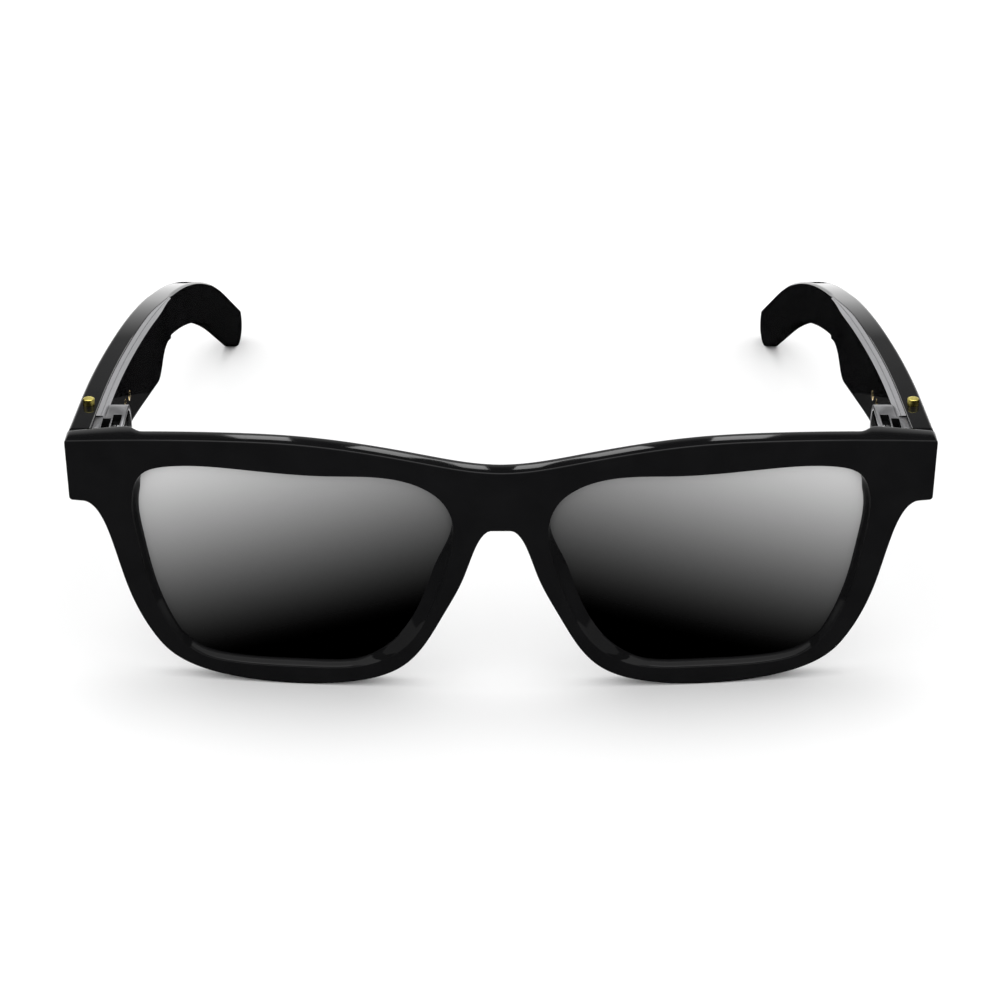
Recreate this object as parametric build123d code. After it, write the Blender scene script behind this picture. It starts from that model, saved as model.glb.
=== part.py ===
from build123d import *
import os
from math import asin, cos, radians, sin, sqrt, tan

# Smart glasses standing open on the rims and the temple tips.
# +Z is up, X runs across the face and the front faces -Y. All sizes are millimetres.
# The wearer's left side is +X. Every piece is built on that side and mirrored.
# While the pieces are built, Y = 0 is the front's outer top corner and Z = 0 the table.
# At the end the whole is moved so that the origin is the middle of its footprint.

# ---- overall sizes ----
front_width = 148.0
front_height = 45.9
corner_height = 44.0
bridge_top = 41.2
temple_length = 148.75

# ---- front ----
wrap_sag = 7.0
front_thickness = 4.2
lug_depth = 4.6
lug_bottom = 32.9
lug_flat = 1.9
lug_taper = 0.25
lug_corner = 0.6
lug_width = 10.4
notch_width = 4.3
notch_height = 6.4
bridge_width = 16.2
bridge_bottom = 30.3
crown_width = 3.4
rim_bottom = 3.4
rim_nasal = 4.0
rim_side = 4.4
brow = 5.0
endpiece = 11.2

# ---- lenses ----
lens_thickness = 1.8
lens_depth = 1.5
groove_depth = 0.8
lens_fit = 0.05
seat_nasal = 2.1
seat_bottom = 0.9
seat_side = 0.3

# ---- nose pads ----
pad_length = 13.0
pad_width = 3.0
pad_reach = 7.0
pad_flare = 3.2
pad_lean = 22.0
pad_height = 18.5
pad_offset = 9.6

# ---- temples ----
temple_gap = 0.2
level_slope = 1.7
bend_start = 48.0
bend_radius = 168.0
tip_flat = 0.35
splay = 1.6
taper_start = 19.0
taper_radius = 324.0
taper_angle = 6.5
shell_depth = 3.7
housing_depth = 5.4
hook_depth = 4.3
tip_depth = 3.0
hook_height = 8.2
temple_front_height = 10.0
housing_height = 13.0
housing_rear = 62.0
housing_rise = 9.0
cover_end = 76.0
cover_taper = 16.0
cover_step = 0.5
wall = 1.1
joint_gap = 0.04
tip_bulge = 2.6

# ---- electronics ----
cavity_start = 14.0
cavity_end = 71.0
cover_recess = 0.8
cavity_gap = 0.15
battery_start = 24.0
battery_length = 20.0
battery_height = 7.6
battery_edge = 0.8
board_start = 45.6
board_length = 13.0
board_height = 8.0
board_thickness = 0.8
chip_thickness = 0.8
speaker_start = 59.3
speaker_length = 8.5
speaker_height = 5.6
speaker_thickness = 2.2
antenna_thickness = 0.2
antenna_length = 18.0
antenna_height = 3.0
strip_gap = 0.06
flex_thickness = 0.15
flex_height = 0.8
microphone_size = 2.6
microphone_place = 22.0
port_radius = 0.4
mesh_length = 7.0
mesh_width = 2.0
mesh_thickness = 0.4
contact_radius = 0.9
contact_depth = 0.8
contact_pitch = 4.0
contact_place = 34.0
light_radius = 0.5
light_place = 25.0

# ---- press button ----
button_place = 16.2
button_inset = 1.85
button_radius = 1.0
button_proud = 1.2
button_edge = 0.2
button_travel = 0.35
button_clearance = 0.06
switch_gap = 0.1
switch_length = 3.0
switch_width = 1.4
switch_height = 1.4

# ---- hinge ----
axis_inset = 7.8
axis_setback = 8.8
block_reach = 1.3
block_top_drop = 0.3
block_bottom = 34.0
block_start = 4.95
block_shoulder = 11.2
block_end = 19.8
block_corner = 4.4
knuckle_radius = 1.5
knuckle_height = 3.2
knuckle_middle = 38.9
knuckle_end_gap = 0.1
knuckle_side_gap = 0.25
web_width = 1.2
leaf_thickness = 0.8
leaf_width = 5.4
leaf_height = 7.0
screw_radius = 0.6
screw_clearance = 0.05
screw_head_radius = 0.72
screw_head_height = 0.6
pocket_depth = 1.3
pocket_width = 1.5
pocket_start = 5.6
pocket_end = 12.2
side_pocket_width = 1.4
side_pocket_inset = 1.7
side_pocket_depth = 2.6
strip_hole_radius = 0.45
cap_thickness = 0.5
cap_margin = 0.8
leaf_screw_radius = 0.5
leaf_screw_head = 0.85
leaf_screw_length = 2.2
leaf_screw_pitch = 4.4
slot_cut = 0.22

half_width = front_width / 2
wrap_radius = (half_width**2 + wrap_sag**2) / (2 * wrap_sag)
wrap_centre = wrap_radius - wrap_sag
temple_start = lug_depth + temple_gap
axis_x = half_width - axis_inset
hook_start = housing_rear + housing_rise + 3.0
tall = 3 * front_height
far = 2 * temple_length


# ---- curves that the pieces share ----
def wrap_y(x):
    """Y of the front face at a distance x from the middle."""
    return wrap_centre - sqrt(wrap_radius**2 - x**2)


def two_lines_and_an_arc(y, first, start, radius, last):
    """Fall of a line that leaves at angle first, bends round an arc and goes on at last."""
    a0 = radians(first)
    a1 = radians(last)
    end = start + radius * (sin(a1) - sin(a0))
    if y <= start:
        return y * tan(a0)
    if y <= end:
        angle = asin(sin(a0) + (y - start) / radius)
        return start * tan(a0) + radius * (cos(a0) - cos(angle))
    return start * tan(a0) + radius * (cos(a0) - cos(a1)) + (y - end) * tan(a1)


def tip_height(slope):
    """Height of the tip's lowest corner when the hook ends at a slope."""
    top = corner_height - two_lines_and_an_arc(temple_length, level_slope, bend_start, bend_radius, slope)
    return top - hook_height * cos(radians(slope))


def slope_to_table():
    """Slope of the hook that brings the tip down onto the table."""
    gentle, steep = level_slope, 80.0
    for _ in range(50):
        middle = (gentle + steep) / 2
        if tip_height(middle) > -tip_flat:
            gentle = middle
        else:
            steep = middle
    return gentle


hook_slope = slope_to_table()


def top_z(y):
    """Height of the temple's top edge."""
    return corner_height - two_lines_and_an_arc(y, level_slope, bend_start, bend_radius, hook_slope)


def outer_x(y, depth=0.0):
    """X of the temple's outer face, or of a line that deep inside it."""
    inward = two_lines_and_an_arc(y, splay, taper_start, taper_radius, taper_angle)
    return half_width - inward - depth


def top_slope(y):
    """Steepness of the top edge in degrees."""
    rise = sin(radians(level_slope)) + max(0.0, y - bend_start) / bend_radius
    return min(hook_slope, degrees_of(rise))


def degrees_of(sine):
    """Angle in degrees of a sine, capped at a right angle."""
    return asin(min(1.0, sine)) / radians(1)


def stations(y0, y1, count):
    """Evenly spaced places from y0 to y1."""
    return [y0 + (y1 - y0) * i / (count - 1) for i in range(count)]


def hook_point(y, drop):
    """Point a distance square below the top edge at y, as (y, z)."""
    lean = radians(top_slope(y))
    return (y - drop * sin(lean), top_z(y) - drop * cos(lean))


def plan_prism(y0, y1, near, distant, count=9):
    """Upright prism between two lines at the depths that two functions of y give."""
    outer = Spline(*[(outer_x(y, near(y)), y) for y in stations(y0, y1, count)])
    inner = Spline(*[(outer_x(y, distant(y)), y) for y in stations(y0, y1, count)])
    rim = Wire([outer, Line(outer @ 1, inner @ 1), inner, Line(inner @ 0, outer @ 0)])
    return extrude(make_face(rim.edges()), tall)


def bar(x0, x1, y0, y1, z0, z1):
    """Box between two corners."""
    return Pos((x0 + x1) / 2, (y0 + y1) / 2, (z0 + z1) / 2) * Box(x1 - x0, y1 - y0, z1 - z0)


def post(x, y, z0, z1, radius):
    """Upright cylinder."""
    return Pos(x, y, (z0 + z1) / 2) * Cylinder(radius, z1 - z0)


# ---- the front ----
lens_box = (bridge_width / 2, half_width - endpiece, rim_bottom, front_height - brow)
rim_box = (
    lens_box[0] - rim_nasal,
    lens_box[1] + rim_side,
    0.0,
    lens_box[3] + rim_bottom,
)


def lens_point(box, across, up):
    """Point at a share of the way across and up a box, as (x, z)."""
    return (box[0] + across * (box[1] - box[0]), box[2] + up * (box[3] - box[2]))


# Share across (from the nose) and share up, round the lens from the top of the nasal side.
NASAL_TOP = [(0.10, 0.935), (0.035, 0.865)]
NASAL_SIDE = [(0.0, 0.745), (0.012, 0.58), (0.037, 0.455), (0.088, 0.265), (0.15, 0.13)]
BOTTOM = [(0.26, 0.03), (0.47, 0.0), (0.70, 0.008), (0.815, 0.05)]
OUTER_SIDE = [(0.90, 0.18), (0.955, 0.37), (0.99, 0.62), (1.0, 0.82)]
TOP = [(0.965, 0.945), (0.88, 0.992), (0.70, 1.0), (0.40, 0.98)]
# The same shares for the rim's lower edge, from the temple side round to the nose.
RIM_LOW = [(0.95, 0.362), (0.90, 0.208), (0.848, 0.114), (0.766, 0.05), (0.655, 0.015), (0.49, 0.0)]
RIM_NASAL = [(0.378, 0.01), (0.267, 0.044), (0.21, 0.085), (0.093, 0.315), (0.038, 0.473), (0.009, 0.59)]


def lens_outline(box):
    """Closed lens outline that fills a box in the X-Z plane."""
    shares = NASAL_TOP + NASAL_SIDE + BOTTOM + OUTER_SIDE + TOP
    points = [lens_point(box, across, up) for across, up in shares]
    return Spline(*[(x, 0, z) for x, z in points], periodic=True)


def grown(box, left, right, bottom, top):
    """Box with each edge moved outwards."""
    return (box[0] - left, box[1] + right, box[2] - bottom, box[3] + top)


def lens_prism(box):
    """Lens outline carried through the whole depth of the front."""
    face = make_face(lens_outline(box))
    return extrude(face, amount=far, dir=(0, 1, 0), both=True)


def wrapped(depth):
    """Everything behind the front face moved back by depth."""
    return Pos(0, wrap_centre, tall / 2 - front_height) * Cylinder(wrap_radius - depth, tall)


def front_outline():
    """Outline of half of the front, seen from ahead."""
    lug_low = half_width - lug_taper
    notch_x = lug_low - lug_corner - lug_flat
    top = Spline(
        (0, 0, bridge_top),
        (0.18 * half_width, 0, bridge_top + 0.38 * (front_height - bridge_top)),
        (0.455 * half_width, 0, front_height - 0.15),
        (0.62 * half_width, 0, front_height),
        (half_width, 0, corner_height),
        tangents=[(1, 0, 0), (1, 0, -0.11)],
    )
    side = Line(top @ 1, (lug_low, 0, lug_bottom + lug_corner))
    corner = TangentArc(side @ 1, (lug_low - lug_corner, 0, lug_bottom), tangent=side % 1)
    flat = Line(corner @ 1, (notch_x, 0, lug_bottom))
    rim = [lens_point(rim_box, across, up) for across, up in RIM_LOW + RIM_NASAL]
    lower = Spline(
        flat @ 1,
        (notch_x - 0.3 * notch_width, 0, lug_bottom - 0.08 * notch_height),
        (notch_x - 0.64 * notch_width, 0, lug_bottom - 0.37 * notch_height),
        (notch_x - notch_width, 0, lug_bottom - notch_height),
        *[(x, 0, z) for x, z in rim],
        (0.8 * rim[-1][0], 0, bridge_bottom - 0.43 * rim[-1][0]),
        (0.58 * rim[-1][0], 0, bridge_bottom - 0.12 * rim[-1][0]),
        (crown_width / 2, 0, bridge_bottom),
    )
    crown = Line(lower @ 1, (0, 0, bridge_bottom))
    middle = Line(crown @ 1, top @ 0)
    return [top, side, corner, flat, lower, crown, middle]


def make_front_half():
    """Half of the front: rim, brow, half bridge and lug, with the lens groove."""
    seat = grown(lens_box, -seat_nasal, -seat_side, -seat_bottom, 0)
    face = make_face(front_outline()) - make_face(lens_outline(seat))
    half = extrude(face, amount=front_width, dir=(0, 1, 0), both=True)
    lug = bar(half_width - lug_width, front_width, -front_width, front_width, -tall, tall)
    half &= wrapped(0)
    half -= wrapped(front_thickness) - lug
    half -= bar(0, front_width, lug_depth, far, -tall, tall)
    half &= bar(-1, front_width, -far, far, 0, tall)
    groove = grown(seat, groove_depth, groove_depth, groove_depth, groove_depth)
    half -= lens_prism(groove) & (wrapped(lens_depth) - wrapped(lens_depth + lens_thickness))
    half -= leaf_plate(lens_fit)
    for z in leaf_screw_heights():
        half -= leaf_screw(z, lens_fit)
    return half


def make_front():
    """The whole front as one moulding."""
    half = make_front_half()
    return half + mirror(half, about=Plane.YZ)


def make_lens():
    """Curved lens held in the groove of its rim."""
    held = groove_depth - lens_fit
    seat = grown(lens_box, -seat_nasal, -seat_side, -seat_bottom, 0)
    box = grown(seat, held, held, held, held)
    shell = wrapped(lens_depth + lens_fit) - wrapped(lens_depth + lens_thickness - lens_fit)
    return lens_prism(box) & shell


def make_nose_pad():
    """Pad that flares back from the rim beside the nose."""
    base = Pos(pad_offset, wrap_y(pad_offset), pad_height) * Rot(0, -pad_lean, 0)
    near = base * (Plane.XZ * SlotOverall(pad_length, pad_width, rotation=90))
    back = Pos(pad_flare, front_thickness + pad_reach, 0) * base
    end = back * (Plane.XZ * SlotOverall(pad_length - pad_width, pad_width, rotation=90))
    return loft([near.face(), end.face()]) & wrapped(front_thickness)


# ---- hinge ----
def leaf_screw_heights():
    """Heights of the two screws of the front leaf."""
    return [knuckle_middle - leaf_screw_pitch / 2, knuckle_middle + leaf_screw_pitch / 2]


def leaf_screw(z, grow=0.0):
    """Countersunk screw that runs forward into the lug."""
    x = axis_x - leaf_width / 2 + 1.1 * leaf_screw_head
    head = Cone(leaf_screw_radius + grow, leaf_screw_head + grow, leaf_thickness)
    shank = Pos(0, 0, -leaf_screw_length / 2) * Cylinder(leaf_screw_radius + grow, leaf_screw_length)
    turned = Rot(-90, 0, 0) * (Pos(0, 0, leaf_thickness / 2) * head + shank)
    return Pos(x, lug_depth - leaf_thickness, z) * turned


def leaf_plate(grow=0.0):
    """Plate of the front leaf, let into the back of the lug."""
    half = leaf_width / 2 + grow
    tallness = leaf_height / 2 + grow
    low = knuckle_middle - tallness
    high = knuckle_middle + tallness
    return bar(axis_x - half, axis_x + half, lug_depth - leaf_thickness - grow, lug_depth, low, high)


def make_front_leaf():
    """Plate, web and knuckle of the hinge's front leaf."""
    low = knuckle_middle - knuckle_height / 2
    high = knuckle_middle + knuckle_height / 2
    half_web = web_width / 2
    leaf = leaf_plate()
    leaf += bar(axis_x - half_web, axis_x + half_web, lug_depth - 0.1, axis_setback, low, high)
    leaf += post(axis_x, axis_setback, low, high, knuckle_radius)
    leaf -= post(axis_x, axis_setback, low - 1, high + 1, screw_radius + screw_clearance)
    for z in leaf_screw_heights():
        leaf -= leaf_screw(z, 0.02)
    return leaf


def make_leaf_screws():
    """Both screws of the front leaf."""
    return Compound([leaf_screw(z) for z in leaf_screw_heights()])


def make_hinge_block():
    """Metal hinge end of the temple: two ears, a body and a pad along the cover."""
    inboard = axis_x - block_reach
    top = top_z(axis_setback) - block_top_drop
    low = knuckle_middle - knuckle_height / 2 - knuckle_end_gap
    high = knuckle_middle + knuckle_height / 2 + knuckle_end_gap
    head = bar(inboard, front_width, block_start, block_shoulder, block_bottom, top)
    head &= plan_prism(0, block_end, lambda y: shell_depth + joint_gap, lambda y: 2 * housing_depth)
    tail = bar(inboard, front_width, block_shoulder, block_end, block_bottom, top)
    tail &= plan_prism(0, block_end + 1, lambda y: housing_depth + joint_gap, lambda y: 2 * housing_depth)
    block = head + tail
    rear = block.edges().filter_by(Axis.X).sort_by(Axis.Y)[-2:]
    block = fillet(rear, block_corner)
    reach = knuckle_radius + knuckle_side_gap
    block -= bar(0, axis_x + reach, 0, axis_setback + reach, low, high)
    pocket = pocket_width / 2
    block -= bar(axis_x - pocket, axis_x + pocket, pocket_start, pocket_end, top - pocket_depth, tall)
    side = axis_x + side_pocket_inset
    block -= bar(
        side - side_pocket_width / 2,
        side + side_pocket_width / 2,
        block_start + wall / 2,
        block_shoulder - wall / 2,
        top - side_pocket_depth,
        tall,
    )
    hole_x = outer_x(block_start, shell_depth) - 2 * strip_hole_radius
    block -= post(hole_x, block_start + 2.5 * strip_hole_radius, top - 3, tall, strip_hole_radius)
    block -= post(axis_x, axis_setback, block_bottom - 1, tall, screw_radius)
    block -= hinge_cap_blank(0.0)
    return block


def hinge_cap_blank(shrink):
    """Oval inlay on the inboard side of the hinge block, before its slot is cut."""
    inboard = axis_x - block_reach
    top = top_z(axis_setback) - block_top_drop - cap_margin
    height = top - block_bottom - cap_margin
    length = block_end - block_start - 2 * cap_margin
    centre_y = (block_end + block_start) / 2
    centre = (inboard, centre_y, (top + block_bottom + cap_margin) / 2)
    slot = SlotOverall(length - 2 * shrink, height - 2 * shrink)
    return extrude(Plane(origin=centre, x_dir=(0, 1, 0), z_dir=(1, 0, 0)) * slot, cap_thickness)


def make_hinge_cap():
    """Glossy oval inlay, open where the front leaf swings through."""
    reach = knuckle_radius + knuckle_side_gap
    low = knuckle_middle - knuckle_height / 2 - knuckle_end_gap
    high = knuckle_middle + knuckle_height / 2 + knuckle_end_gap
    return hinge_cap_blank(0.03) - bar(0, axis_x + reach, 0, axis_setback + reach, low, high)


def make_hinge_screw():
    """Pivot screw through the ears and the knuckle, with a slotted head."""
    seat = top_z(axis_setback) - block_top_drop - pocket_depth
    screw = post(axis_x, axis_setback, block_bottom + 0.3, seat, screw_radius)
    screw += post(axis_x, axis_setback, seat, seat + screw_head_height, screw_head_radius)
    low = seat + screw_head_height / 2
    return screw - bar(axis_x - slot_cut / 2, axis_x + slot_cut / 2, 0, far, low, tall)


# ---- temple shell and cover ----
def bottom_points():
    """Lower edge of the temple from its front end to where the hook begins, as (y, z)."""
    low = top_z(housing_rear) - housing_height
    return [
        (temple_start, top_z(temple_start) - temple_front_height),
        (housing_rear - 3.0, low + 0.1),
        (housing_rear, low + 0.6),
        (housing_rear + 0.35 * housing_rise, low + 2.4),
        hook_point(hook_start, hook_height),
    ]


def side_face():
    """Side view of the whole temple."""
    top = Spline(*[(0, y, top_z(y)) for y in stations(temple_start, temple_length, 12)])
    start, *bend = bottom_points()
    under = Spline(*[(0, *hook_point(y, hook_height)) for y in stations(hook_start, temple_length, 8)])
    along = Line((0, *start), (0, *bend[0]))
    rise = Spline(*[(0, *point) for point in bend], tangents=[along % 1, under % 0])
    lean = radians(hook_slope)
    y, z = hook_point(temple_length, hook_height / 2)
    end = ThreePointArc(under @ 1, (0, y + tip_bulge * cos(lean), z - tip_bulge * sin(lean)), top @ 1)
    return make_face([top, end, under, rise, along, Line(along @ 0, top @ 0)])


def side_prism():
    """Side view carried across the temple's side of the head."""
    return extrude(side_face(), amount=front_width, dir=(1, 0, 0))


def smooth_step(y, y0, y1):
    """Rises smoothly from 0 at y0 to 1 at y1."""
    share = min(1.0, max(0.0, (y - y0) / (y1 - y0)))
    return share * share * (3 - 2 * share)


def inner_depth(y):
    """Depth of the hook's inner face, which thins towards the tip."""
    share = max(0.0, (y - cover_end) / (temple_length - cover_end))
    return hook_depth + (tip_depth - hook_depth) * share


def shell_split(y):
    """Depth of the joint between shell and cover."""
    return shell_depth + (hook_depth - shell_depth) * smooth_step(y, cover_end - cover_taper, cover_end)


def cover_face(y):
    """Depth of the cover's inner face, which falls to a small step at its rear end."""
    rear = hook_depth + cover_step
    return housing_depth + (rear - housing_depth) * smooth_step(y, cover_end - cover_taper, cover_end)


def cavity(near, distant, y0, y1, inset):
    """Hollow inside the temple, between two depths and a wall from its edges."""
    room = plan_prism(y0, y1, lambda y: near, lambda y: distant)
    return room & lowered_side(inset)


def lowered_side(inset):
    """Side view with its top and bottom edges moved inwards."""
    top = Spline(*[(0, y, top_z(y) - inset) for y in stations(temple_start, cavity_end, 6)])
    start, *bend = bottom_points()
    low = [(0, start[0], start[1] + inset), (0, bend[0][0], bend[0][1] + inset)]
    back = (0, cavity_end, low[1][2] + housing_rise / 2)
    bottom = Polyline(low[0], low[1], (0, housing_rear, low[1][2] + 0.5), back, top @ 1)
    face = make_face([top, *bottom.edges(), Line(low[0], top @ 0)])
    return extrude(face, amount=front_width, dir=(1, 0, 0))


def make_temple_shell():
    """Outer half of the temple with the hook, hollowed for the electronics."""
    body = plan_prism(temple_start, cover_end, lambda y: 0, shell_split)
    hook = plan_prism(cover_end, temple_length + tip_bulge, lambda y: 0, inner_depth)
    side = side_prism() - bar(0, front_width, 0, far, -tall, 0)
    shell = (body & side) + (hook & side)
    shell -= cavity(wall, shell_depth + 1, cavity_start, cavity_end, wall)
    x = outer_x(button_place, button_inset)
    under = top_z(button_place) - 2 * wall
    shell -= post(x, button_place, under, tall, button_radius + button_clearance)
    shell -= mesh_block(0.02)
    shell -= post(outer_x(microphone_place, shell_depth / 2), microphone_place, 0, tall / 4, port_radius)
    return shell


def make_temple_cover():
    """Inner cover of the housing, recessed over the electronics, with a bevelled top edge."""
    cover = plan_prism(block_shoulder + 0.1, cover_end - 0.5, lambda y: shell_split(y) + joint_gap, cover_face)
    cover &= side_prism()
    cover -= cavity(shell_depth - 1, shell_depth + cover_recess, block_end + 1, cover_end - cover_taper, wall)
    cover -= top_bevel()
    for y in contact_places():
        cover -= contact(y, 0.02)
    cover -= light_pipe(0.02)
    return cover


def top_bevel():
    """Wedge that bevels the inner top edge of the cover."""
    sections = []
    for y in stations(block_shoulder, cover_end, 12):
        x = outer_x(y, housing_depth)
        z = top_z(y)
        corner = Polyline((x - 0.8, y, z + 0.5), (x - 0.8, y, z - 1.5), (x + 0.9, y, z + 0.5), close=True)
        sections.append(make_face(corner))
    return loft(sections)


# ---- electronics ----
# Chips on the board: start along the board, length and height.
CHIPS = [(0.6, 4.2, 4.6), (5.6, 3.0, 3.0), (9.4, 2.6, 4.0)]


def place_along(y, depth):
    """Location on a line at a depth inside the temple, turned with the temple."""
    step = 0.5
    turn = asin((outer_x(y - step) - outer_x(y + step)) / (2 * step)) / radians(1)
    return Pos(outer_x(y, depth), y, 0) * Rot(0, 0, turn)


def block_inside(y0, length, height, near, thickness, drop):
    """Box inside the temple, its top a distance under the temple's top edge."""
    y = y0 + length / 2
    top = min(top_z(y0), top_z(y0 + length)) - drop
    return place_along(y, near + thickness / 2) * Pos(0, 0, top - height / 2) * Box(thickness, length, height)


def make_battery():
    """Pouch cell with rounded long edges."""
    near = wall + strip_gap + antenna_thickness + 2 * cavity_gap
    thickness = housing_depth - contact_depth - near - cavity_gap
    cell = block_inside(battery_start, battery_length, battery_height, near, thickness, wall + 0.5)
    return fillet(cell.edges().filter_by(lambda e: e.length > battery_length - 1), battery_edge)


def board_block(start, length, height, outward, thickness):
    """Box in the board's own place: start along it, its middle level with the board's."""
    middle = board_start + board_length / 2
    top = min(top_z(board_start), top_z(board_start + board_length)) - wall - 0.5
    place = place_along(middle, wall + chip_thickness + 3 * cavity_gap)
    local = Pos(outward + thickness / 2, start + (length - board_length) / 2, top - board_height / 2)
    return place * local * Box(thickness, length, height)


def make_board():
    """Printed circuit board behind the battery."""
    return board_block(0, board_length, board_height, -board_thickness, board_thickness)


def make_board_chips():
    """Radio, power and memory chips on the outer side of the board."""
    chips = [board_block(start, length, height, 0, chip_thickness) for start, length, height in CHIPS]
    return Compound([chip.solid() for chip in chips])


def make_speaker():
    """Slim rectangular speaker just ahead of the ear."""
    near = wall + cavity_gap + 0.1
    case = block_inside(speaker_start, speaker_length, speaker_height, near, speaker_thickness, wall + 0.6)
    return fillet(case.edges().filter_by(lambda e: abs(e.length - speaker_thickness) < 0.01), 1.2)


def mesh_block(grow):
    """Room of the sound mesh in the underside of the housing."""
    y = housing_rear - 2.5 - mesh_length / 2
    low = housing_low(y)
    place = place_along(y, (wall + shell_depth) / 2) * Pos(0, 0, low)
    rise = mesh_thickness / 2 if grow == 0 else wall
    return place * Pos(0, 0, rise) * Box(mesh_width + 2 * grow, mesh_length + 2 * grow, 2 * rise + grow)


def housing_low(y):
    """Height of the housing's lower edge."""
    start, rear = bottom_points()[:2]
    return start[1] + (rear[1] - start[1]) * (y - start[0]) / (rear[0] - start[0])


def make_sound_mesh():
    """Woven metal mesh over the sound outlet."""
    y = housing_rear - 2.5 - mesh_length / 2
    place = place_along(y, (wall + shell_depth) / 2) * Pos(0, 0, housing_low(y) + 0.35)
    return place * Box(mesh_width, mesh_length, mesh_thickness)


def make_antenna():
    """Thin antenna strip on the inside of the outer wall."""
    start = battery_start + 1
    return cavity_strip(start, start + antenna_length, antenna_thickness, antenna_height, wall + 2.5)


def make_flex():
    """Flat cable from the switch to the board, between the cell and the outer wall."""
    start = button_place + switch_length
    return cavity_strip(start, board_start - 0.1, flex_thickness, flex_height, wall + 0.4)


def cavity_strip(y0, y1, thickness, height, drop):
    """Thin upright strip that follows the inside of the outer wall."""
    near = wall + strip_gap
    room = plan_prism(y0, y1, lambda y: near, lambda y: near + thickness)
    top = min(top_z(y0), top_z(y1)) - drop
    return room & bar(0, front_width, y0 - 1, y1 + 1, top - height, top)


def make_microphone():
    """Microphone can over its port in the underside."""
    y = microphone_place
    low = housing_low(y) + wall + 0.1
    place = place_along(y, (wall + shell_depth) / 2)
    return place * Pos(0, 0, low + 0.6) * Box(shell_depth - wall - 0.4, microphone_size, 1.2)


def contact_places():
    """Places of the two charging contacts along the temple."""
    return [contact_place - contact_pitch / 2, contact_place + contact_pitch / 2]


def contact(y, grow=0.0):
    """Round charging contact through the cover."""
    z = top_z(y) - temple_front_height / 2 - 1.5
    place = place_along(y, housing_depth - 0.4) * Pos(0, 0, z) * Rot(0, 90, 0)
    return place * Cylinder(contact_radius + grow, 0.8 + 4 * grow)


def make_contacts():
    """Pair of charging contacts."""
    return Compound([contact(y).solid() for y in contact_places()])


def light_pipe(grow=0.0):
    """Clear light pipe of the status light, through the cover."""
    z = top_z(light_place) - temple_front_height / 2
    place = place_along(light_place, housing_depth - 0.4) * Pos(0, 0, z) * Rot(0, 90, 0)
    return place * Cylinder(light_radius + grow, 0.8 + 4 * grow)


# ---- press button ----
def make_button():
    """Gold button that slides in the shell's top wall."""
    x = outer_x(button_place, button_inset)
    top = top_z(button_place) + button_proud
    under = top_z(button_place) - wall - 0.05
    cap = post(x, button_place, under, top, button_radius)
    return fillet(cap.edges().sort_by(Axis.Z)[-1], button_edge)


def make_switch():
    """Small push switch under the button."""
    x = outer_x(button_place, button_inset)
    top = top_z(button_place) - wall - button_travel - switch_gap - 0.05
    body = bar(
        x - switch_width / 2,
        x + switch_width / 2,
        button_place - switch_length / 2,
        button_place + switch_length / 2,
        top - switch_height,
        top - 0.3,
    )
    return body + post(x, button_place, top - 0.35, top, 0.6)


# ---- assembly ----
def side_pieces():
    """Every piece of the wearer's left side."""
    return {
        "lens": make_lens(),
        "nose_pad": make_nose_pad(),
        "hinge_front_leaf": make_front_leaf(),
        "hinge_leaf_screws": make_leaf_screws(),
        "temple_shell": make_temple_shell(),
        "temple_cover": make_temple_cover(),
        "hinge_block": make_hinge_block(),
        "hinge_cap": make_hinge_cap(),
        "hinge_screw": make_hinge_screw(),
        "battery": make_battery(),
        "main_board": make_board(),
        "board_chips": make_board_chips(),
        "speaker": make_speaker(),
        "sound_mesh": make_sound_mesh(),
        "antenna_strip": make_antenna(),
        "button_flex": make_flex(),
        "microphone": make_microphone(),
        "charging_contacts": make_contacts(),
        "status_light": light_pipe(),
        "button_cap": make_button(),
        "button_switch": make_switch(),
    }


def make_all():
    """Every node by name, moved to the origin under the middle of the whole."""
    nodes = {"front_frame": make_front()}
    for name, piece in side_pieces().items():
        nodes[name + "_left"] = piece
        nodes[name + "_right"] = mirror(piece, about=Plane.YZ)
    box = Compound([solid for piece in nodes.values() for solid in piece.solids()]).bounding_box()
    move = Pos(0, -(box.min.Y + box.max.Y) / 2, -box.min.Z)
    return {name: move * piece for name, piece in nodes.items()}, move


nodes, move = make_all()
os.makedirs("parts", exist_ok=True)
for name, piece in nodes.items():
    export_step(Compound(piece.solids()), f"parts/{name}.step")
place = move.position
print("moved by", round(place.Y, 4), round(place.Z, 4))
print("hinge axis", round(axis_x, 4), round(axis_setback + place.Y, 4))
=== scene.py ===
"""Looks of a pair of smart glasses that stands open on a pale studio floor."""

import logging
from dataclasses import dataclass
from enum import Enum
from math import asin, atan2, cos, hypot, pi, radians, sin, sqrt, tan

import bpy
import numpy as np
from mathutils import Euler, Matrix, Vector


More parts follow.
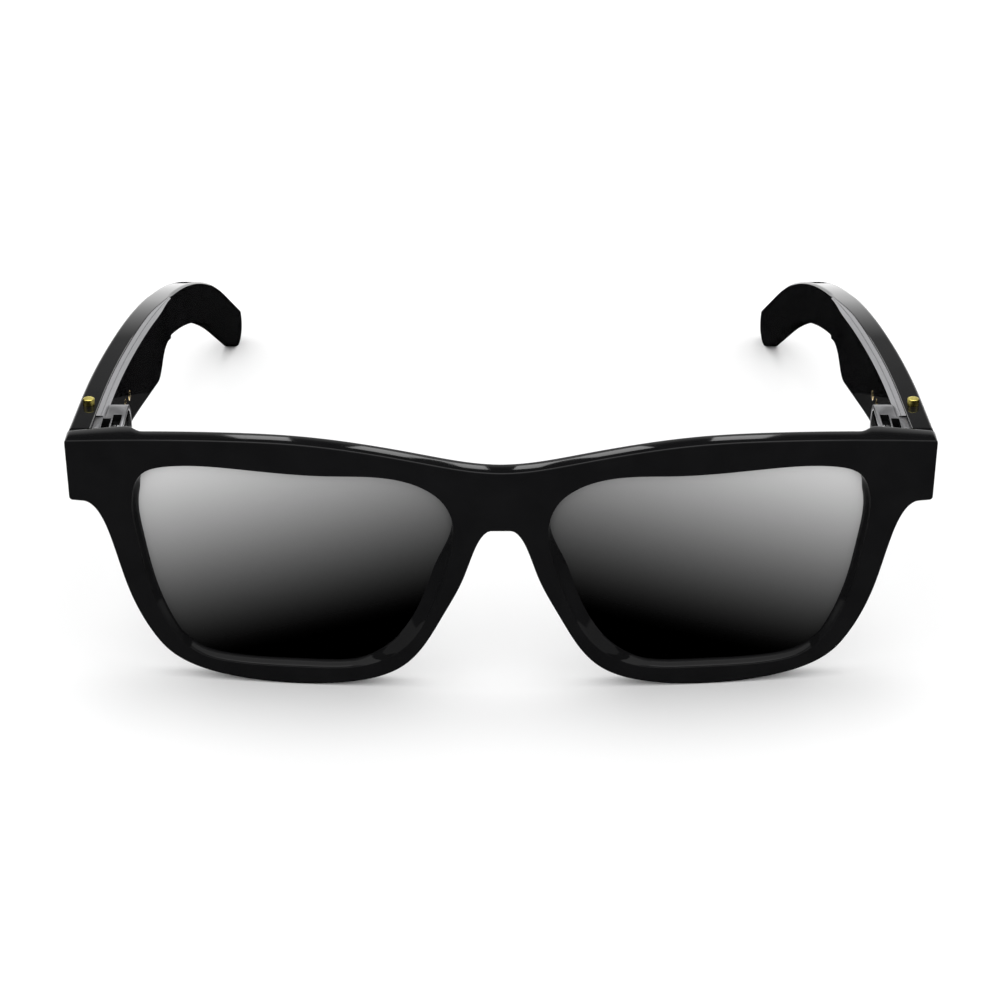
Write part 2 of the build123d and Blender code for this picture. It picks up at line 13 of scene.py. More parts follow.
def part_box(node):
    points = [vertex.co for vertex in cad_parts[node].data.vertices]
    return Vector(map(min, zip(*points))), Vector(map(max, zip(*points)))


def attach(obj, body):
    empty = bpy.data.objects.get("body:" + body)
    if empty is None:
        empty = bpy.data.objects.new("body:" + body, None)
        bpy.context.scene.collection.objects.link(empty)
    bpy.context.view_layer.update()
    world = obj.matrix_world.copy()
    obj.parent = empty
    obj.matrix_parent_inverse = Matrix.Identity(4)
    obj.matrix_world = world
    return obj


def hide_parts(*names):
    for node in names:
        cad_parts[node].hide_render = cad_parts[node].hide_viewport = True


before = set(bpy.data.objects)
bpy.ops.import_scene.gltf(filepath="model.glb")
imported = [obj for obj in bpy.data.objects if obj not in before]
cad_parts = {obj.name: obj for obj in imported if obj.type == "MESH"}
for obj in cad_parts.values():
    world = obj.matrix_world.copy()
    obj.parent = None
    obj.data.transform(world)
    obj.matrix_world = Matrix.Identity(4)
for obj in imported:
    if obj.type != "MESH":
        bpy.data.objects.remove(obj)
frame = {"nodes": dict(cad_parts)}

LOG = logging.getLogger("glasses")
MM = 0.001

Flat = tuple[float, float]
Spot = tuple[float, float, float]
Row = list[Spot]


class Side(Enum):
    """Side of the wearer's head."""

    LEFT = 1
    RIGHT = -1

    @property
    def word(self) -> str:
        """Word that ends the names of this side's nodes."""
        return self.name.lower()


# ---------------------------------------------------------------- shader maths
class Flow:
    """Value that runs along a wire of a material and takes part in Python expressions."""

    def __init__(self, web: "Web", socket: bpy.types.NodeSocket) -> None:
        """Args:
        web: the node tree that the wire belongs to.
        socket: the output that the value comes from.
        """
        self.web = web
        self.socket = socket

    def _math(self, operation: str, first: object, second: object = 0.0, clamp: bool = False) -> "Flow":
        """Adds one Math node and returns what comes out of it."""
        return self.web.add("ShaderNodeMath", {"operation": operation, "use_clamp": clamp}, {0: first, 1: second})

    def __add__(self, other: object) -> "Flow":
        """Sum."""
        return self._math("ADD", self, other)

    def __radd__(self, other: object) -> "Flow":
        """Sum with the number in front."""
        return self._math("ADD", other, self)

    def __sub__(self, other: object) -> "Flow":
        """Difference."""
        return self._math("SUBTRACT", self, other)

    def __rsub__(self, other: object) -> "Flow":
        """Difference with the number in front."""
        return self._math("SUBTRACT", other, self)

    def __mul__(self, other: object) -> "Flow":
        """Product."""
        return self._math("MULTIPLY", self, other)

    def __rmul__(self, other: object) -> "Flow":
        """Product with the number in front."""
        return self._math("MULTIPLY", other, self)

    def __truediv__(self, other: object) -> "Flow":
        """Quotient."""
        return self._math("DIVIDE", self, other)

    def __pow__(self, other: object) -> "Flow":
        """Power."""
        return self._math("POWER", self, other)

    def __abs__(self) -> "Flow":
        """Size without its sign."""
        return self._math("ABSOLUTE", self)

    def held(self) -> "Flow":
        """The value kept between 0 and 1."""
        return self._math("ADD", self, 0.0, clamp=True)

    def over(self, low: float, high: float) -> "Flow":
        """Ramp that is 0 at low, 1 at high and straight between."""
        return ((self - low) / (high - low)).held()


class Web:
    """Node tree of one material."""

    def __init__(self, name: str) -> None:
        """Args:
        name: name of the material.
        """
        self.material = bpy.data.materials.new(name)
        self.material.use_nodes = True
        self.tree = self.material.node_tree
        self.shader = self.tree.nodes["Principled BSDF"]
        self._place: Flow | None = None

    def add(self, kind: str, settings: dict[str, object], inputs: dict[object, object], output: object = 0) -> Flow:
        """Adds a node.

        Args:
            kind: Blender's name for the type of node.
            settings: properties, set before the inputs.
            inputs: socket name or number to a value or a Flow.
            output: socket name or number of the result.

        Returns:
            What comes out of the node.
        """
        node = self.tree.nodes.new(kind)
        for key, value in settings.items():
            setattr(node, key, value)
        for key, value in inputs.items():
            self._feed(node.inputs[key], value)
        return Flow(self, node.outputs[output])

    def _feed(self, socket: bpy.types.NodeSocket, value: object) -> None:
        """Links a Flow to a socket, or sets the socket's own value."""
        if isinstance(value, Flow):
            self.tree.links.new(value.socket, socket)
        else:
            socket.default_value = value

    @property
    def place(self) -> Flow:
        """Object coordinates, which on every piece are the part's own frame in metres."""
        if self._place is None:
            self._place = self.add("ShaderNodeTexCoord", {}, {}, "Object")
        return self._place

    def axes(self) -> tuple[Flow, Flow, Flow]:
        """X, Y and Z of the point being shaded."""
        split = self.add("ShaderNodeSeparateXYZ", {}, {0: self.place})
        outputs = split.socket.node.outputs
        return Flow(self, outputs[0]), Flow(self, outputs[1]), Flow(self, outputs[2])

    def noise(self, scale: float, detail: float = 3.0, stretch: Spot = (1.0, 1.0, 1.0)) -> Flow:
        """Noise between 0 and 1, with a scale in cells per metre, stretched along the axes."""
        turned = self.add("ShaderNodeMapping", {}, {"Vector": self.place, "Scale": stretch})
        return self.add("ShaderNodeTexNoise", {}, {"Vector": turned, "Scale": scale, "Detail": detail})

    def blend(self, share: Flow, low: Spot, high: Spot) -> Flow:
        """Colour between low and high."""
        return self.add("ShaderNodeMix", {"data_type": "RGBA"}, {0: share, 6: (*low, 1.0), 7: (*high, 1.0)}, 2)

    def bump(self, height: Flow, distance: float, strength: float = 1.0) -> None:
        """Feeds the shader's normal with small relief.

        Args:
            height: relief between 0 and 1.
            distance: height of the relief in metres.
            strength: how much of it shows.
        """
        inputs = {"Strength": strength, "Distance": distance, "Height": height}
        self.finish(Normal=self.add("ShaderNodeBump", {}, inputs))

    def finish(self, **values: object) -> None:
        """Sets or links sockets of the shader, named with _ for a space."""
        for name, value in values.items():
            self._feed(self.shader.inputs[name.replace("_", " ")], value)


# ---------------------------------------------------------------- finishes
def toned(tone: Spot, factor: float) -> Spot:
    """Colour made lighter or darker, held at full brightness."""
    return tuple(min(1.0, factor * c) for c in tone)


@dataclass(frozen=True)
class Finish:
    """Finish of a material slot."""

    slot: str
    title: str

    def made(self) -> bpy.types.Material:
        """The material, built the first time that it is asked for."""
        ready = bpy.data.materials.get(self.title)
        if ready is not None:
            return ready
        web = Web(self.title)
        self.dress(web)
        return web.material

    def dress(self, web: Web) -> None:
        """Builds the nodes of this finish."""
        raise NotImplementedError


@dataclass(frozen=True)
class PolishedBlack(Finish):
    """Glossy black injection-moulded plastic with the faint waviness of a polished tool."""

    tone: float = 0.0042
    gloss: float = 0.04
    level: float = 0.16

    def dress(self, web: Web) -> None:
        """Near-black, a little cloudy gloss, orange peel and hairlines."""
        cloud = web.noise(160.0)
        haze = web.noise(45.0, 5.0)
        hairs = web.noise(900.0, 2.0, (1.0, 0.05, 0.6))
        dark = (self.tone, self.tone, self.tone * 1.06)
        light = (self.tone * 1.9, self.tone * 1.9, self.tone * 2.0)
        web.finish(
            Base_Color=web.blend(cloud, dark, light),
            Roughness=self.gloss + 0.05 * haze.over(0.35, 0.8) + 0.04 * hairs.over(0.62, 0.8),
            Specular_IOR_Level=self.level,
        )
        web.bump(cloud * 0.8 + hairs * 0.2, 0.000004, 0.35)


@dataclass(frozen=True)
class GradientLens(Finish):
    """Lens with a grey tint that deepens downwards and towards the nose, its colour painted light grey at the top as
    painted light of the bright floor seen through it.
    """

    rise: float = 19.9
    lean: float = 6.0
    start: float = 0.362
    clear: float = 0.10

    def dress(self, web: Web) -> None:
        """Slanted gradient and the faintest dust."""
        across, _, up = web.axes()
        # Painted light: the floor's brightness seen through the lens is painted into the colour, lighter at the top,
        # over the real tint that deepens downwards and towards the nose.
        shade = (up * self.rise + abs(across) * self.lean - self.start).held()
        tint_and_painted_light = shade**2.2
        dust = web.noise(1500.0, 2.0).over(0.66, 0.8)
        web.finish(
            Base_Color=tint_and_painted_light * (1.0 + self.clear) + dust * 0.002,
            Alpha=1.0 - self.clear * tint_and_painted_light,
            Roughness=0.06 + 0.05 * dust + 0.03 * web.noise(60.0),
            Specular_IOR_Level=0.12,
            IOR=1.5,
        )
        web.bump(web.noise(25.0, 1.0), 0.00001, 0.05)


@dataclass(frozen=True)
class SatinGrey(Finish):
    """Satin grey colour painted on the upward faces along the top of the inner cover, as a painted highlight of the
    light from above.
    """

    tone: Spot = (0.30, 0.30, 0.31)
    shine: float = 0.36
    metal: float = 0.35

    def dress(self, web: Web) -> None:
        """Fine brushed grain along the temple."""
        grain = web.noise(5200.0, 2.0, (1.0, 0.02, 1.0))
        cloud = web.noise(220.0, 4.0)
        web.finish(
            Base_Color=web.blend(grain * 0.6 + cloud * 0.4, toned(self.tone, 0.86), toned(self.tone, 1.12)),
            Metallic=self.metal,
            Roughness=self.shine + 0.12 * grain + 0.05 * cloud,
        )
        web.bump(grain, 0.000006, 0.4)


@dataclass(frozen=True)
class MachinedMetal(Finish):
    """Machined metal with a fine turned or rolled grain."""

    tone: Spot = (0.34, 0.34, 0.35)
    shine: float = 0.3
    stretch: Spot = (1.0, 1.0, 0.04)

    def dress(self, web: Web) -> None:
        """Grain in one direction over a slightly cloudy tone."""
        grain = web.noise(4200.0, 3.0, self.stretch)
        wear = web.noise(600.0, 6.0).over(0.55, 0.75)
        web.finish(
            Base_Color=web.blend(grain, toned(self.tone, 0.8), toned(self.tone, 1.15)),
            Metallic=1.0,
            Roughness=self.shine + 0.14 * grain - 0.08 * wear,
        )
        web.bump(grain, 0.000008, 0.5)


@dataclass(frozen=True)
class GoldPlate(Finish):
    """Bright gold plating with a trace of handling."""

    tone: Spot = (0.98, 0.84, 0.22)
    shine: float = 0.34

    def dress(self, web: Web) -> None:
        """Warm metal whose gloss varies a little."""
        touch = web.noise(1400.0, 4.0)
        web.finish(
            Base_Color=web.blend(touch, toned(self.tone, 0.9), self.tone),
            Metallic=1.0,
            Roughness=self.shine + 0.12 * touch.over(0.4, 0.8),
        )
        web.bump(touch, 0.000004, 0.3)


@dataclass(frozen=True)
class SoftRubber(Finish):
    """Satin black silicone."""

    tone: float = 0.014

    def dress(self, web: Web) -> None:
        """Matte skin with a fine moulded texture."""
        grain = web.noise(3500.0, 4.0)
        cloud = web.noise(300.0, 3.0)
        dark = (self.tone, self.tone, self.tone)
        light = (2.0 * self.tone, 2.0 * self.tone, 2.1 * self.tone)
        web.finish(Base_Color=web.blend(cloud, dark, light), Roughness=0.5 + 0.2 * grain)
        web.bump(grain, 0.00002, 0.5)


@dataclass(frozen=True)
class MouldedPart(Finish):
    """Matte moulded or printed surface of a small electronic part."""

    tone: Spot = (0.02, 0.02, 0.02)
    other: Spot = (0.035, 0.035, 0.035)
    shine: float = 0.45
    metal: float = 0.0
    grain: float = 2500.0

    def dress(self, web: Web) -> None:
        """Two tones through a fine texture."""
        speckle = web.noise(self.grain, 3.0)
        web.finish(
            Base_Color=web.blend(speckle.over(0.35, 0.65), self.tone, self.other),
            Metallic=self.metal,
            Roughness=self.shine + 0.15 * speckle,
        )
        web.bump(speckle, 0.00001, 0.4)


@dataclass(frozen=True)
class WovenMesh(Finish):
    """Dark metal mesh over the sound outlet."""

    pitch: float = 0.0003

    def dress(self, web: Web) -> None:
        """Crossed wires in relief, with painted shade in the openings between them."""
        across, along, _ = web.axes()
        turn = 2.0 * pi / self.pitch
        warp, weft = (abs(web.add("ShaderNodeMath", {"operation": "SINE"}, {0: v * turn})) for v in (across, along))
        wire = web.add("ShaderNodeMath", {"operation": "MAXIMUM"}, {0: warp, 1: weft})
        web.finish(
            # The openings between the wires are painted near-black as painted shade.
            Base_Color=web.blend(wire.over(0.5, 0.9), (0.004, 0.004, 0.004), (0.14, 0.14, 0.14)),
            Metallic=0.8,
            Roughness=0.35 + 0.3 * (1.0 - wire),
        )
        web.bump(wire, 0.00004, 0.8)


@dataclass(frozen=True)
class ClearPipe(Finish):
    """Milky clear plastic of the light pipe."""

    def dress(self, web: Web) -> None:
        """Pale, slightly see-through plastic."""
        milk = web.noise(1800.0, 2.0)
        web.finish(
            Base_Color=web.blend(milk, (0.70, 0.74, 0.78), (0.85, 0.88, 0.90)),
            Roughness=0.12 + 0.1 * milk,
            Alpha=0.75 + 0.2 * milk,
        )


@dataclass(frozen=True)
class Finishes:
    """Every finish of the glasses."""

    frame: Finish = PolishedBlack("frame_gloss", "polished black front")
    temple: Finish = PolishedBlack("temple_gloss", "polished black temple")
    cover: Finish = PolishedBlack("cover_gloss", "polished black cover")
    # Black of the hinge caps, and painted shade in the hinge block's pockets.
    cap: Finish = PolishedBlack("cap_gloss", "polished black inlay")
    # Painted highlight on the cover's upward faces.
    strip: Finish = SatinGrey("cover_gloss", "satin grey strip")
    lens: Finish = GradientLens("lens_gradient", "gradient lens")
    pad: Finish = SoftRubber("pad_silicone", "silicone nose pad")
    hinge: Finish = MachinedMetal("hinge_metal", "machined hinge metal")
    screw: Finish = MachinedMetal("screw_steel", "bright screw steel", (0.60, 0.60, 0.61), 0.2, (1.0, 1.0, 1.0))
    button: Finish = GoldPlate("button_gold", "gold button")
    contact: Finish = GoldPlate("contact_gold", "gold contact", (0.90, 0.70, 0.34), 0.22)
    foil: Finish = MouldedPart("battery_foil", "pouch foil", (0.55, 0.56, 0.57), (0.68, 0.69, 0.70), 0.3, 0.9, 900.0)
    board: Finish = MouldedPart("circuit_board", "solder mask", (0.006, 0.07, 0.03), (0.01, 0.12, 0.05), 0.3)
    chip: Finish = MouldedPart("chip_black", "chip resin")
    speaker: Finish = MouldedPart("speaker_black", "speaker case", (0.025, 0.025, 0.027), (0.04, 0.04, 0.042), 0.5)
    mesh: Finish = WovenMesh("mesh_steel", "woven sound mesh")
    copper: Finish = MouldedPart("copper_foil", "copper foil", (0.65, 0.30, 0.14), (0.78, 0.42, 0.22), 0.25, 1.0)
    flex: Finish = MouldedPart("flex_film", "amber film", (0.45, 0.18, 0.03), (0.58, 0.27, 0.05), 0.25)
    can: Finish = MouldedPart("can_steel", "metal can", (0.5, 0.5, 0.51), (0.62, 0.62, 0.63), 0.25, 1.0, 1200.0)
    light: Finish = ClearPipe("light_pipe", "clear light pipe")
    switch: Finish = MouldedPart("switch_body", "switch body", (0.04, 0.04, 0.04), (0.06, 0.06, 0.06))


FINISH = Finishes()


# ---------------------------------------------------------------- bench work
class Bench:
    """Operators that shape the pieces."""

    @staticmethod
    def clear() -> None:
        """Leaves edit mode and deselects everything."""
        if bpy.context.object is not None and bpy.context.object.mode != "OBJECT":
            bpy.ops.object.mode_set(mode="OBJECT")
        bpy.ops.object.select_all(action="DESELECT")

    @classmethod
    def hold(cls, piece: bpy.types.Object) -> None:
        """Makes a piece the only selected and active one."""
        cls.clear()
        piece.select_set(True)
        bpy.context.view_layer.objects.active = piece

    @classmethod
    def skin(cls, name: str, rows: list[Row], loop: bool = False) -> bpy.types.Object:
        """Shapes a grid into a closed skin.

        Args:
            name: name of the piece.
            rows: rings of points in metres, each the same length. A ring of equal points is a pole.
            loop: whether the last ring joins the first.

        Returns:
            The piece, with its seams merged and its faces outward.
        """
        rings = [[*row, row[0]] for row in rows]
        if loop:
            rings.append(rings[0])
        across = len(rings[0])
        cls.clear()
        bpy.ops.mesh.primitive_grid_add(x_subdivisions=across - 1, y_subdivisions=len(rings) - 1, size=1.0)
        piece = bpy.context.object
        piece.name = piece.data.name = name
        spots = np.array(rings, dtype=np.float32).reshape(-1)
        piece.data.vertices.foreach_set("co", spots)
        piece.data.update()
        cls.close(piece)
        return piece

    @classmethod
    def close(cls, piece: bpy.types.Object, gap: float = 2e-7) -> None:
        """Merges what coincides, drops what has no area and turns the faces outwards."""
        cls.hold(piece)
        bpy.ops.object.mode_set(mode="EDIT")
        bpy.ops.mesh.select_all(action="SELECT")
        bpy.ops.mesh.remove_doubles(threshold=gap)
        bpy.ops.mesh.dissolve_degenerate(threshold=gap)
        bpy.ops.mesh.select_all(action="SELECT")
        bpy.ops.mesh.normals_make_consistent(inside=False)
        bpy.ops.object.mode_set(mode="OBJECT")

    @classmethod
    def apply(cls, piece: bpy.types.Object, kind: str, **settings: object) -> None:
        """Adds a modifier and applies it."""
        cls.hold(piece)
        modifier = piece.modifiers.new(kind.lower(), kind)
        for key, value in settings.items():
            setattr(modifier, key, value)
        bpy.ops.object.modifier_apply(modifier=modifier.name)

    @classmethod
    def smooth(cls, piece: bpy.types.Object, degrees: float = 34.0) -> None:
        """Shades a piece smooth, except over edges sharper than an angle."""
        cls.hold(piece)
        bpy.ops.object.shade_smooth_by_angle(angle=radians(degrees))

    @classmethod
    def cut(cls, piece: bpy.types.Object, tool: bpy.types.Object) -> None:
        """Cuts a tool's shape out of a piece and throws the tool away."""
        cls.apply(piece, "BOOLEAN", operation="DIFFERENCE", solver="EXACT", object=tool)
        bpy.data.objects.remove(tool)

    @classmethod
    def rod(
        cls, spot: Spot, radius: float, depth: float, sides: int = 64, turn: Spot = (0.0, 0.0, 0.0)
    ) -> bpy.types.Object:
        """Adds a cylinder round a point, upright unless it is turned."""
        cls.clear()
        bpy.ops.mesh.primitive_cylinder_add(vertices=sides, radius=radius, depth=depth, location=spot, rotation=turn)
        return bpy.context.object

    @classmethod
    def from_node(cls, name: str, node: str, edge: float) -> bpy.types.Object:
        """Copies a CAD node's shape and softens its edges.

        Args:
            name: name of the new piece.
            node: CAD node to copy.
            edge: width of the softened edges in metres.

        Returns:
            The new piece.
        """
        source = frame["nodes"][node]
        piece = bpy.data.objects.new(name, source.data.copy())
        bpy.context.scene.collection.objects.link(piece)
        piece.data.name = name
        piece.data.materials.clear()
        cls.hold(piece)
        bpy.ops.object.mode_set(mode="EDIT")
        bpy.ops.mesh.select_all(action="SELECT")
        bpy.ops.mesh.remove_doubles(threshold=1e-6)
        bpy.ops.mesh.dissolve_limited(angle_limit=radians(0.6))
        bpy.ops.object.mode_set(mode="OBJECT")
        cls.apply(piece, "BEVEL", width=edge, segments=2, limit_method="ANGLE", angle_limit=radians(38.0))
        cls.smooth(piece)
        return piece

    @classmethod
    def mirrored(cls, piece: bpy.types.Object, name: str) -> bpy.types.Object:
        """Copies a piece with its own mesh to the other side of the head."""
        twin = bpy.data.objects.new(name, piece.data.copy())
        bpy.context.scene.collection.objects.link(twin)
        twin.data.name = name
        twin.data.transform(Matrix.Scale(-1.0, 4, Vector((1.0, 0.0, 0.0))))
        cls.hold(twin)
        bpy.ops.object.mode_set(mode="EDIT")
        bpy.ops.mesh.select_all(action="SELECT")
        bpy.ops.mesh.flip_normals()
        bpy.ops.object.mode_set(mode="OBJECT")
        return twin


def fit(piece: bpy.types.Object, node: str, body: str, finish: Finish) -> None:
    """Puts a piece in its CAD node's place.

    Args:
        piece: the finished shape.
        node: CAD node that it stands for.
        body: CAD body that it rides on.
        finish: what it is made of.
    """
    if not piece.data.materials:
        piece.data.materials.append(finish.made())
    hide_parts(node)
    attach(piece, body)
    LOG.info("%s: %d faces on %s", piece.name, len(piece.data.polygons), body)


def pair(piece: bpy.types.Object, stem: str, body: str, finish: Finish) -> None:
    """Fits a left piece and its mirror image.

    Args:
        piece: the wearer's left piece.
        stem: name of the CAD node without its side.
        body: name of the body, with {side} for the side's word.
        finish: what both are made of.
    """
    if not piece.data.materials:
        piece.data.materials.append(finish.made())
    twin = Bench.mirrored(piece, piece.name.replace("left", "right"))
    fit(piece, f"{stem}_left", body.format(side=Side.LEFT.word), finish)
    fit(twin, f"{stem}_right", body.format(side=Side.RIGHT.word), finish)


# ---------------------------------------------------------------- lines that the pieces share
def drawn(points: list[Flat], step: float, start: Flat | None = None, end: Flat | None = None) -> list[Flat]:
    """Draws an even cubic line through points.

    Args:
        points: points that it passes, in millimetres.
        step: distance between the points of the result.
        start: direction at the first point of an open line.
        end: direction at the last point of an open line.

    Returns:
        Points along the line. It is closed if the first and last points are the same.
    """
    spots = np.array(points, dtype=float)
    spans = np.hypot(*np.diff(spots, axis=0).T)
    slopes = _slopes(spots, spans, start, end)
    result: list[Flat] = []
    for i, span in enumerate(spans):
        count = max(2, int(round(span / step)))
        for k in range(count):
            u = k / count
            basis = (2 * u**3 - 3 * u**2 + 1, u**3 - 2 * u**2 + u, 3 * u**2 - 2 * u**3, u**3 - u**2)
            ends = (spots[i], slopes[i] * span, spots[i + 1], slopes[i + 1] * span)
            x, y = sum(weight * value for weight, value in zip(basis, ends))
            result.append((float(x), float(y)))
    result.append((float(spots[-1][0]), float(spots[-1][1])))
    return result


def _slopes(spots: np.ndarray, spans: np.ndarray, start: Flat | None, end: Flat | None) -> np.ndarray:
    """Solves for the directions that keep the curvature of a drawn line continuous."""
    count = len(spots)
    lhs = np.zeros((count, count))
    rhs = np.zeros((count, 2))
    for i in range(1, count - 1):
        before, after = spans[i - 1], spans[i]
        lhs[i, i - 1 : i + 2] = (after, 2 * (before + after), before)
        rise = after * (spots[i] - spots[i - 1]) / before + before * (spots[i + 1] - spots[i]) / after
        rhs[i] = 3 * rise
    if start is None or end is None:
        before, after = spans[-1], spans[0]
        lhs[0, count - 2] = after
        lhs[0, 0] = 2 * (before + after)
        lhs[0, 1] = before
        rhs[0] = 3 * (after * (spots[0] - spots[-2]) / before + before * (spots[1] - spots[0]) / after)
        lhs[-1, 0] = 1.0
        lhs[-1, -1] = -1.0
        return np.linalg.solve(lhs, rhs)
    for row, way in ((0, start), (count - 1, end)):
        lhs[row, row] = 1.0
        rhs[row] = np.array(way) / hypot(*way)
    return np.linalg.solve(lhs, rhs)


def eased(value: float, low: float, high: float) -> float:
    """Smooth step from 0 at low to 1 at high."""
    share = min(1.0, max(0.0, (value - low) / (high - low)))
    return share * share * (3 - 2 * share)


def part_way(first: Flat, second: Flat, share: float) -> Flat:
    """Point between two points."""
    return (first[0] + share * (second[0] - first[0]), first[1] + share * (second[1] - first[1]))


def moved(point: Flat, way: Flat, distance: float) -> Flat:
    """Point moved along a direction."""
    return (point[0] + way[0] * distance, point[1] + way[1] * distance)


def spread(low: float, high: float, step: float) -> list[float]:
    """Even places from low to high, about step apart."""
    count = max(1, int(round((high - low) / step)))
    return [low + (high - low) * i / count for i in range(count + 1)]


def fall(y: float, first: float, start: float, radius: float, last: float) -> float:
    """Fall of a line that leaves at one angle, bends round an arc and goes on at another.

    Args:
        y: distance along the line's own axis.
        first: angle before the arc, in degrees.
        start: where the arc starts.
        radius: radius of the arc.
        last: angle after the arc, in degrees.

    Returns:
        The fall at y.
    """
    a0, a1 = radians(first), radians(last)
    end = start + radius * (sin(a1) - sin(a0))
    if y <= start:
        return y * tan(a0)
    if y <= end:
        return start * tan(a0) + radius * (cos(a0) - cos(asin(sin(a0) + (y - start) / radius)))
    return start * tan(a0) + radius * (cos(a0) - cos(a1)) + (y - end) * tan(a1)


@dataclass(frozen=True)
class Datum:
    """Sizes read from the CAD boxes. Pieces are drawn in millimetres from the front's outer top corner."""

    half_width: float
    height: float
    shift: float
    sag: float = 7.0
    corner_drop: float = 1.9
    crest_swell: float = 0.052

    @classmethod
    def read(cls) -> "Datum":
        """Reads the front's box."""
        low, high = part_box("front_frame")
        return cls(half_width=high.x / MM, height=high.z / MM - cls.crest_swell, shift=low.y / MM + cls.sag)

    @property
    def radius(self) -> float:
        """Radius of the wrap of the front."""
        return (self.half_width**2 + self.sag**2) / (2 * self.sag)

    @property
    def corner(self) -> float:
        """Height of the outer top corner."""
        return self.height - self.corner_drop

    def wrap(self, x: float) -> float:
        """Y of the front face at a distance x from the middle."""
        return self.radius - self.sag - sqrt(self.radius**2 - x**2)

    def spot(self, x: float, y: float, z: float) -> Spot:
        """Point of the drawing in the part's own frame, in metres."""
        return (x * MM, (y + self.shift) * MM, max(z, 0.0) * MM)


# Share across from the nose and share up, round a lens from the top of its nasal side.
NASAL_TOP = [(0.10, 0.935), (0.035, 0.865)]
NASAL_SIDE = [(0.0, 0.745), (0.012, 0.58), (0.037, 0.455), (0.088, 0.265), (0.15, 0.13)]
BOTTOM = [(0.26, 0.03), (0.47, 0.0), (0.70, 0.008), (0.815, 0.05)]
OUTER_SIDE = [(0.90, 0.18), (0.955, 0.37), (0.99, 0.62), (1.0, 0.82)]
TOP = [(0.965, 0.945), (0.88, 0.992), (0.70, 1.0), (0.40, 0.98)]
# The same shares for the rim's lower edge, from the temple side round to the nose.
RIM_LOW = [(0.95, 0.362), (0.90, 0.208), (0.848, 0.114), (0.766, 0.05), (0.655, 0.015), (0.49, 0.0)]
RIM_NASAL = [(0.378, 0.01), (0.267, 0.044), (0.21, 0.085), (0.093, 0.315), (0.038, 0.473), (0.009, 0.59)]

# Distance outwards from the lens seat, with the depth under the back face.
SEAT_TURN = [(0.5, 0.0), (0.2, 0.07), (0.04, 0.25), (0.0, 0.5)]
# Distance outwards from the lip, with the depth under the front face.
LIP_TURN = [(0.04, 0.05), (0.14, 0.0), (0.35, 0.0)]
# Share of the way from the lens seat to the lip, with the depth under the front face.
LIP_WALL = [(0.35, 1.0), (0.7, 0.55), (1.0, 0.14)]
# Shares of the way over the front face from the lip, and over the back face to the seat.
FACE_SHARES = (0.25, 0.5, 0.75, 0.93)
BACK_SHARES = (0.96, 0.88, 0.77, 0.65, 0.5, 0.35, 0.2)
# Rings of a lens inside its outline, from the middle outwards.
LENS_RINGS = (0.0, 0.2, 0.4, 0.6, 0.8, 0.94, 0.995)
# Stations along the reach of a nose pad. The first and last close its ends.
PAD_STATIONS = (0.0, 0.0, 0.12, 0.3, 0.5, 0.7, 0.85, 0.95, 1.0, 1.0)


@dataclass(frozen=True)
class Opening:
    """Box of a lens outline: nearest and farthest x, lowest and highest z."""

    near: float
    distant: float
    low: float
    high: float

    def at(self, share: Flat) -> Flat:
        """Point at a share of the way across and up."""
        return (self.near + share[0] * (self.distant - self.near), self.low + share[1] * (self.high - self.low))

    def outline(self, step: float) -> list[Flat]:
        """Closed outline that fills the box, from the top of the nasal side."""
        shares = NASAL_TOP + NASAL_SIDE + BOTTOM + OUTER_SIDE + TOP
        return drawn([self.at(share) for share in [*shares, shares[0]]], step)


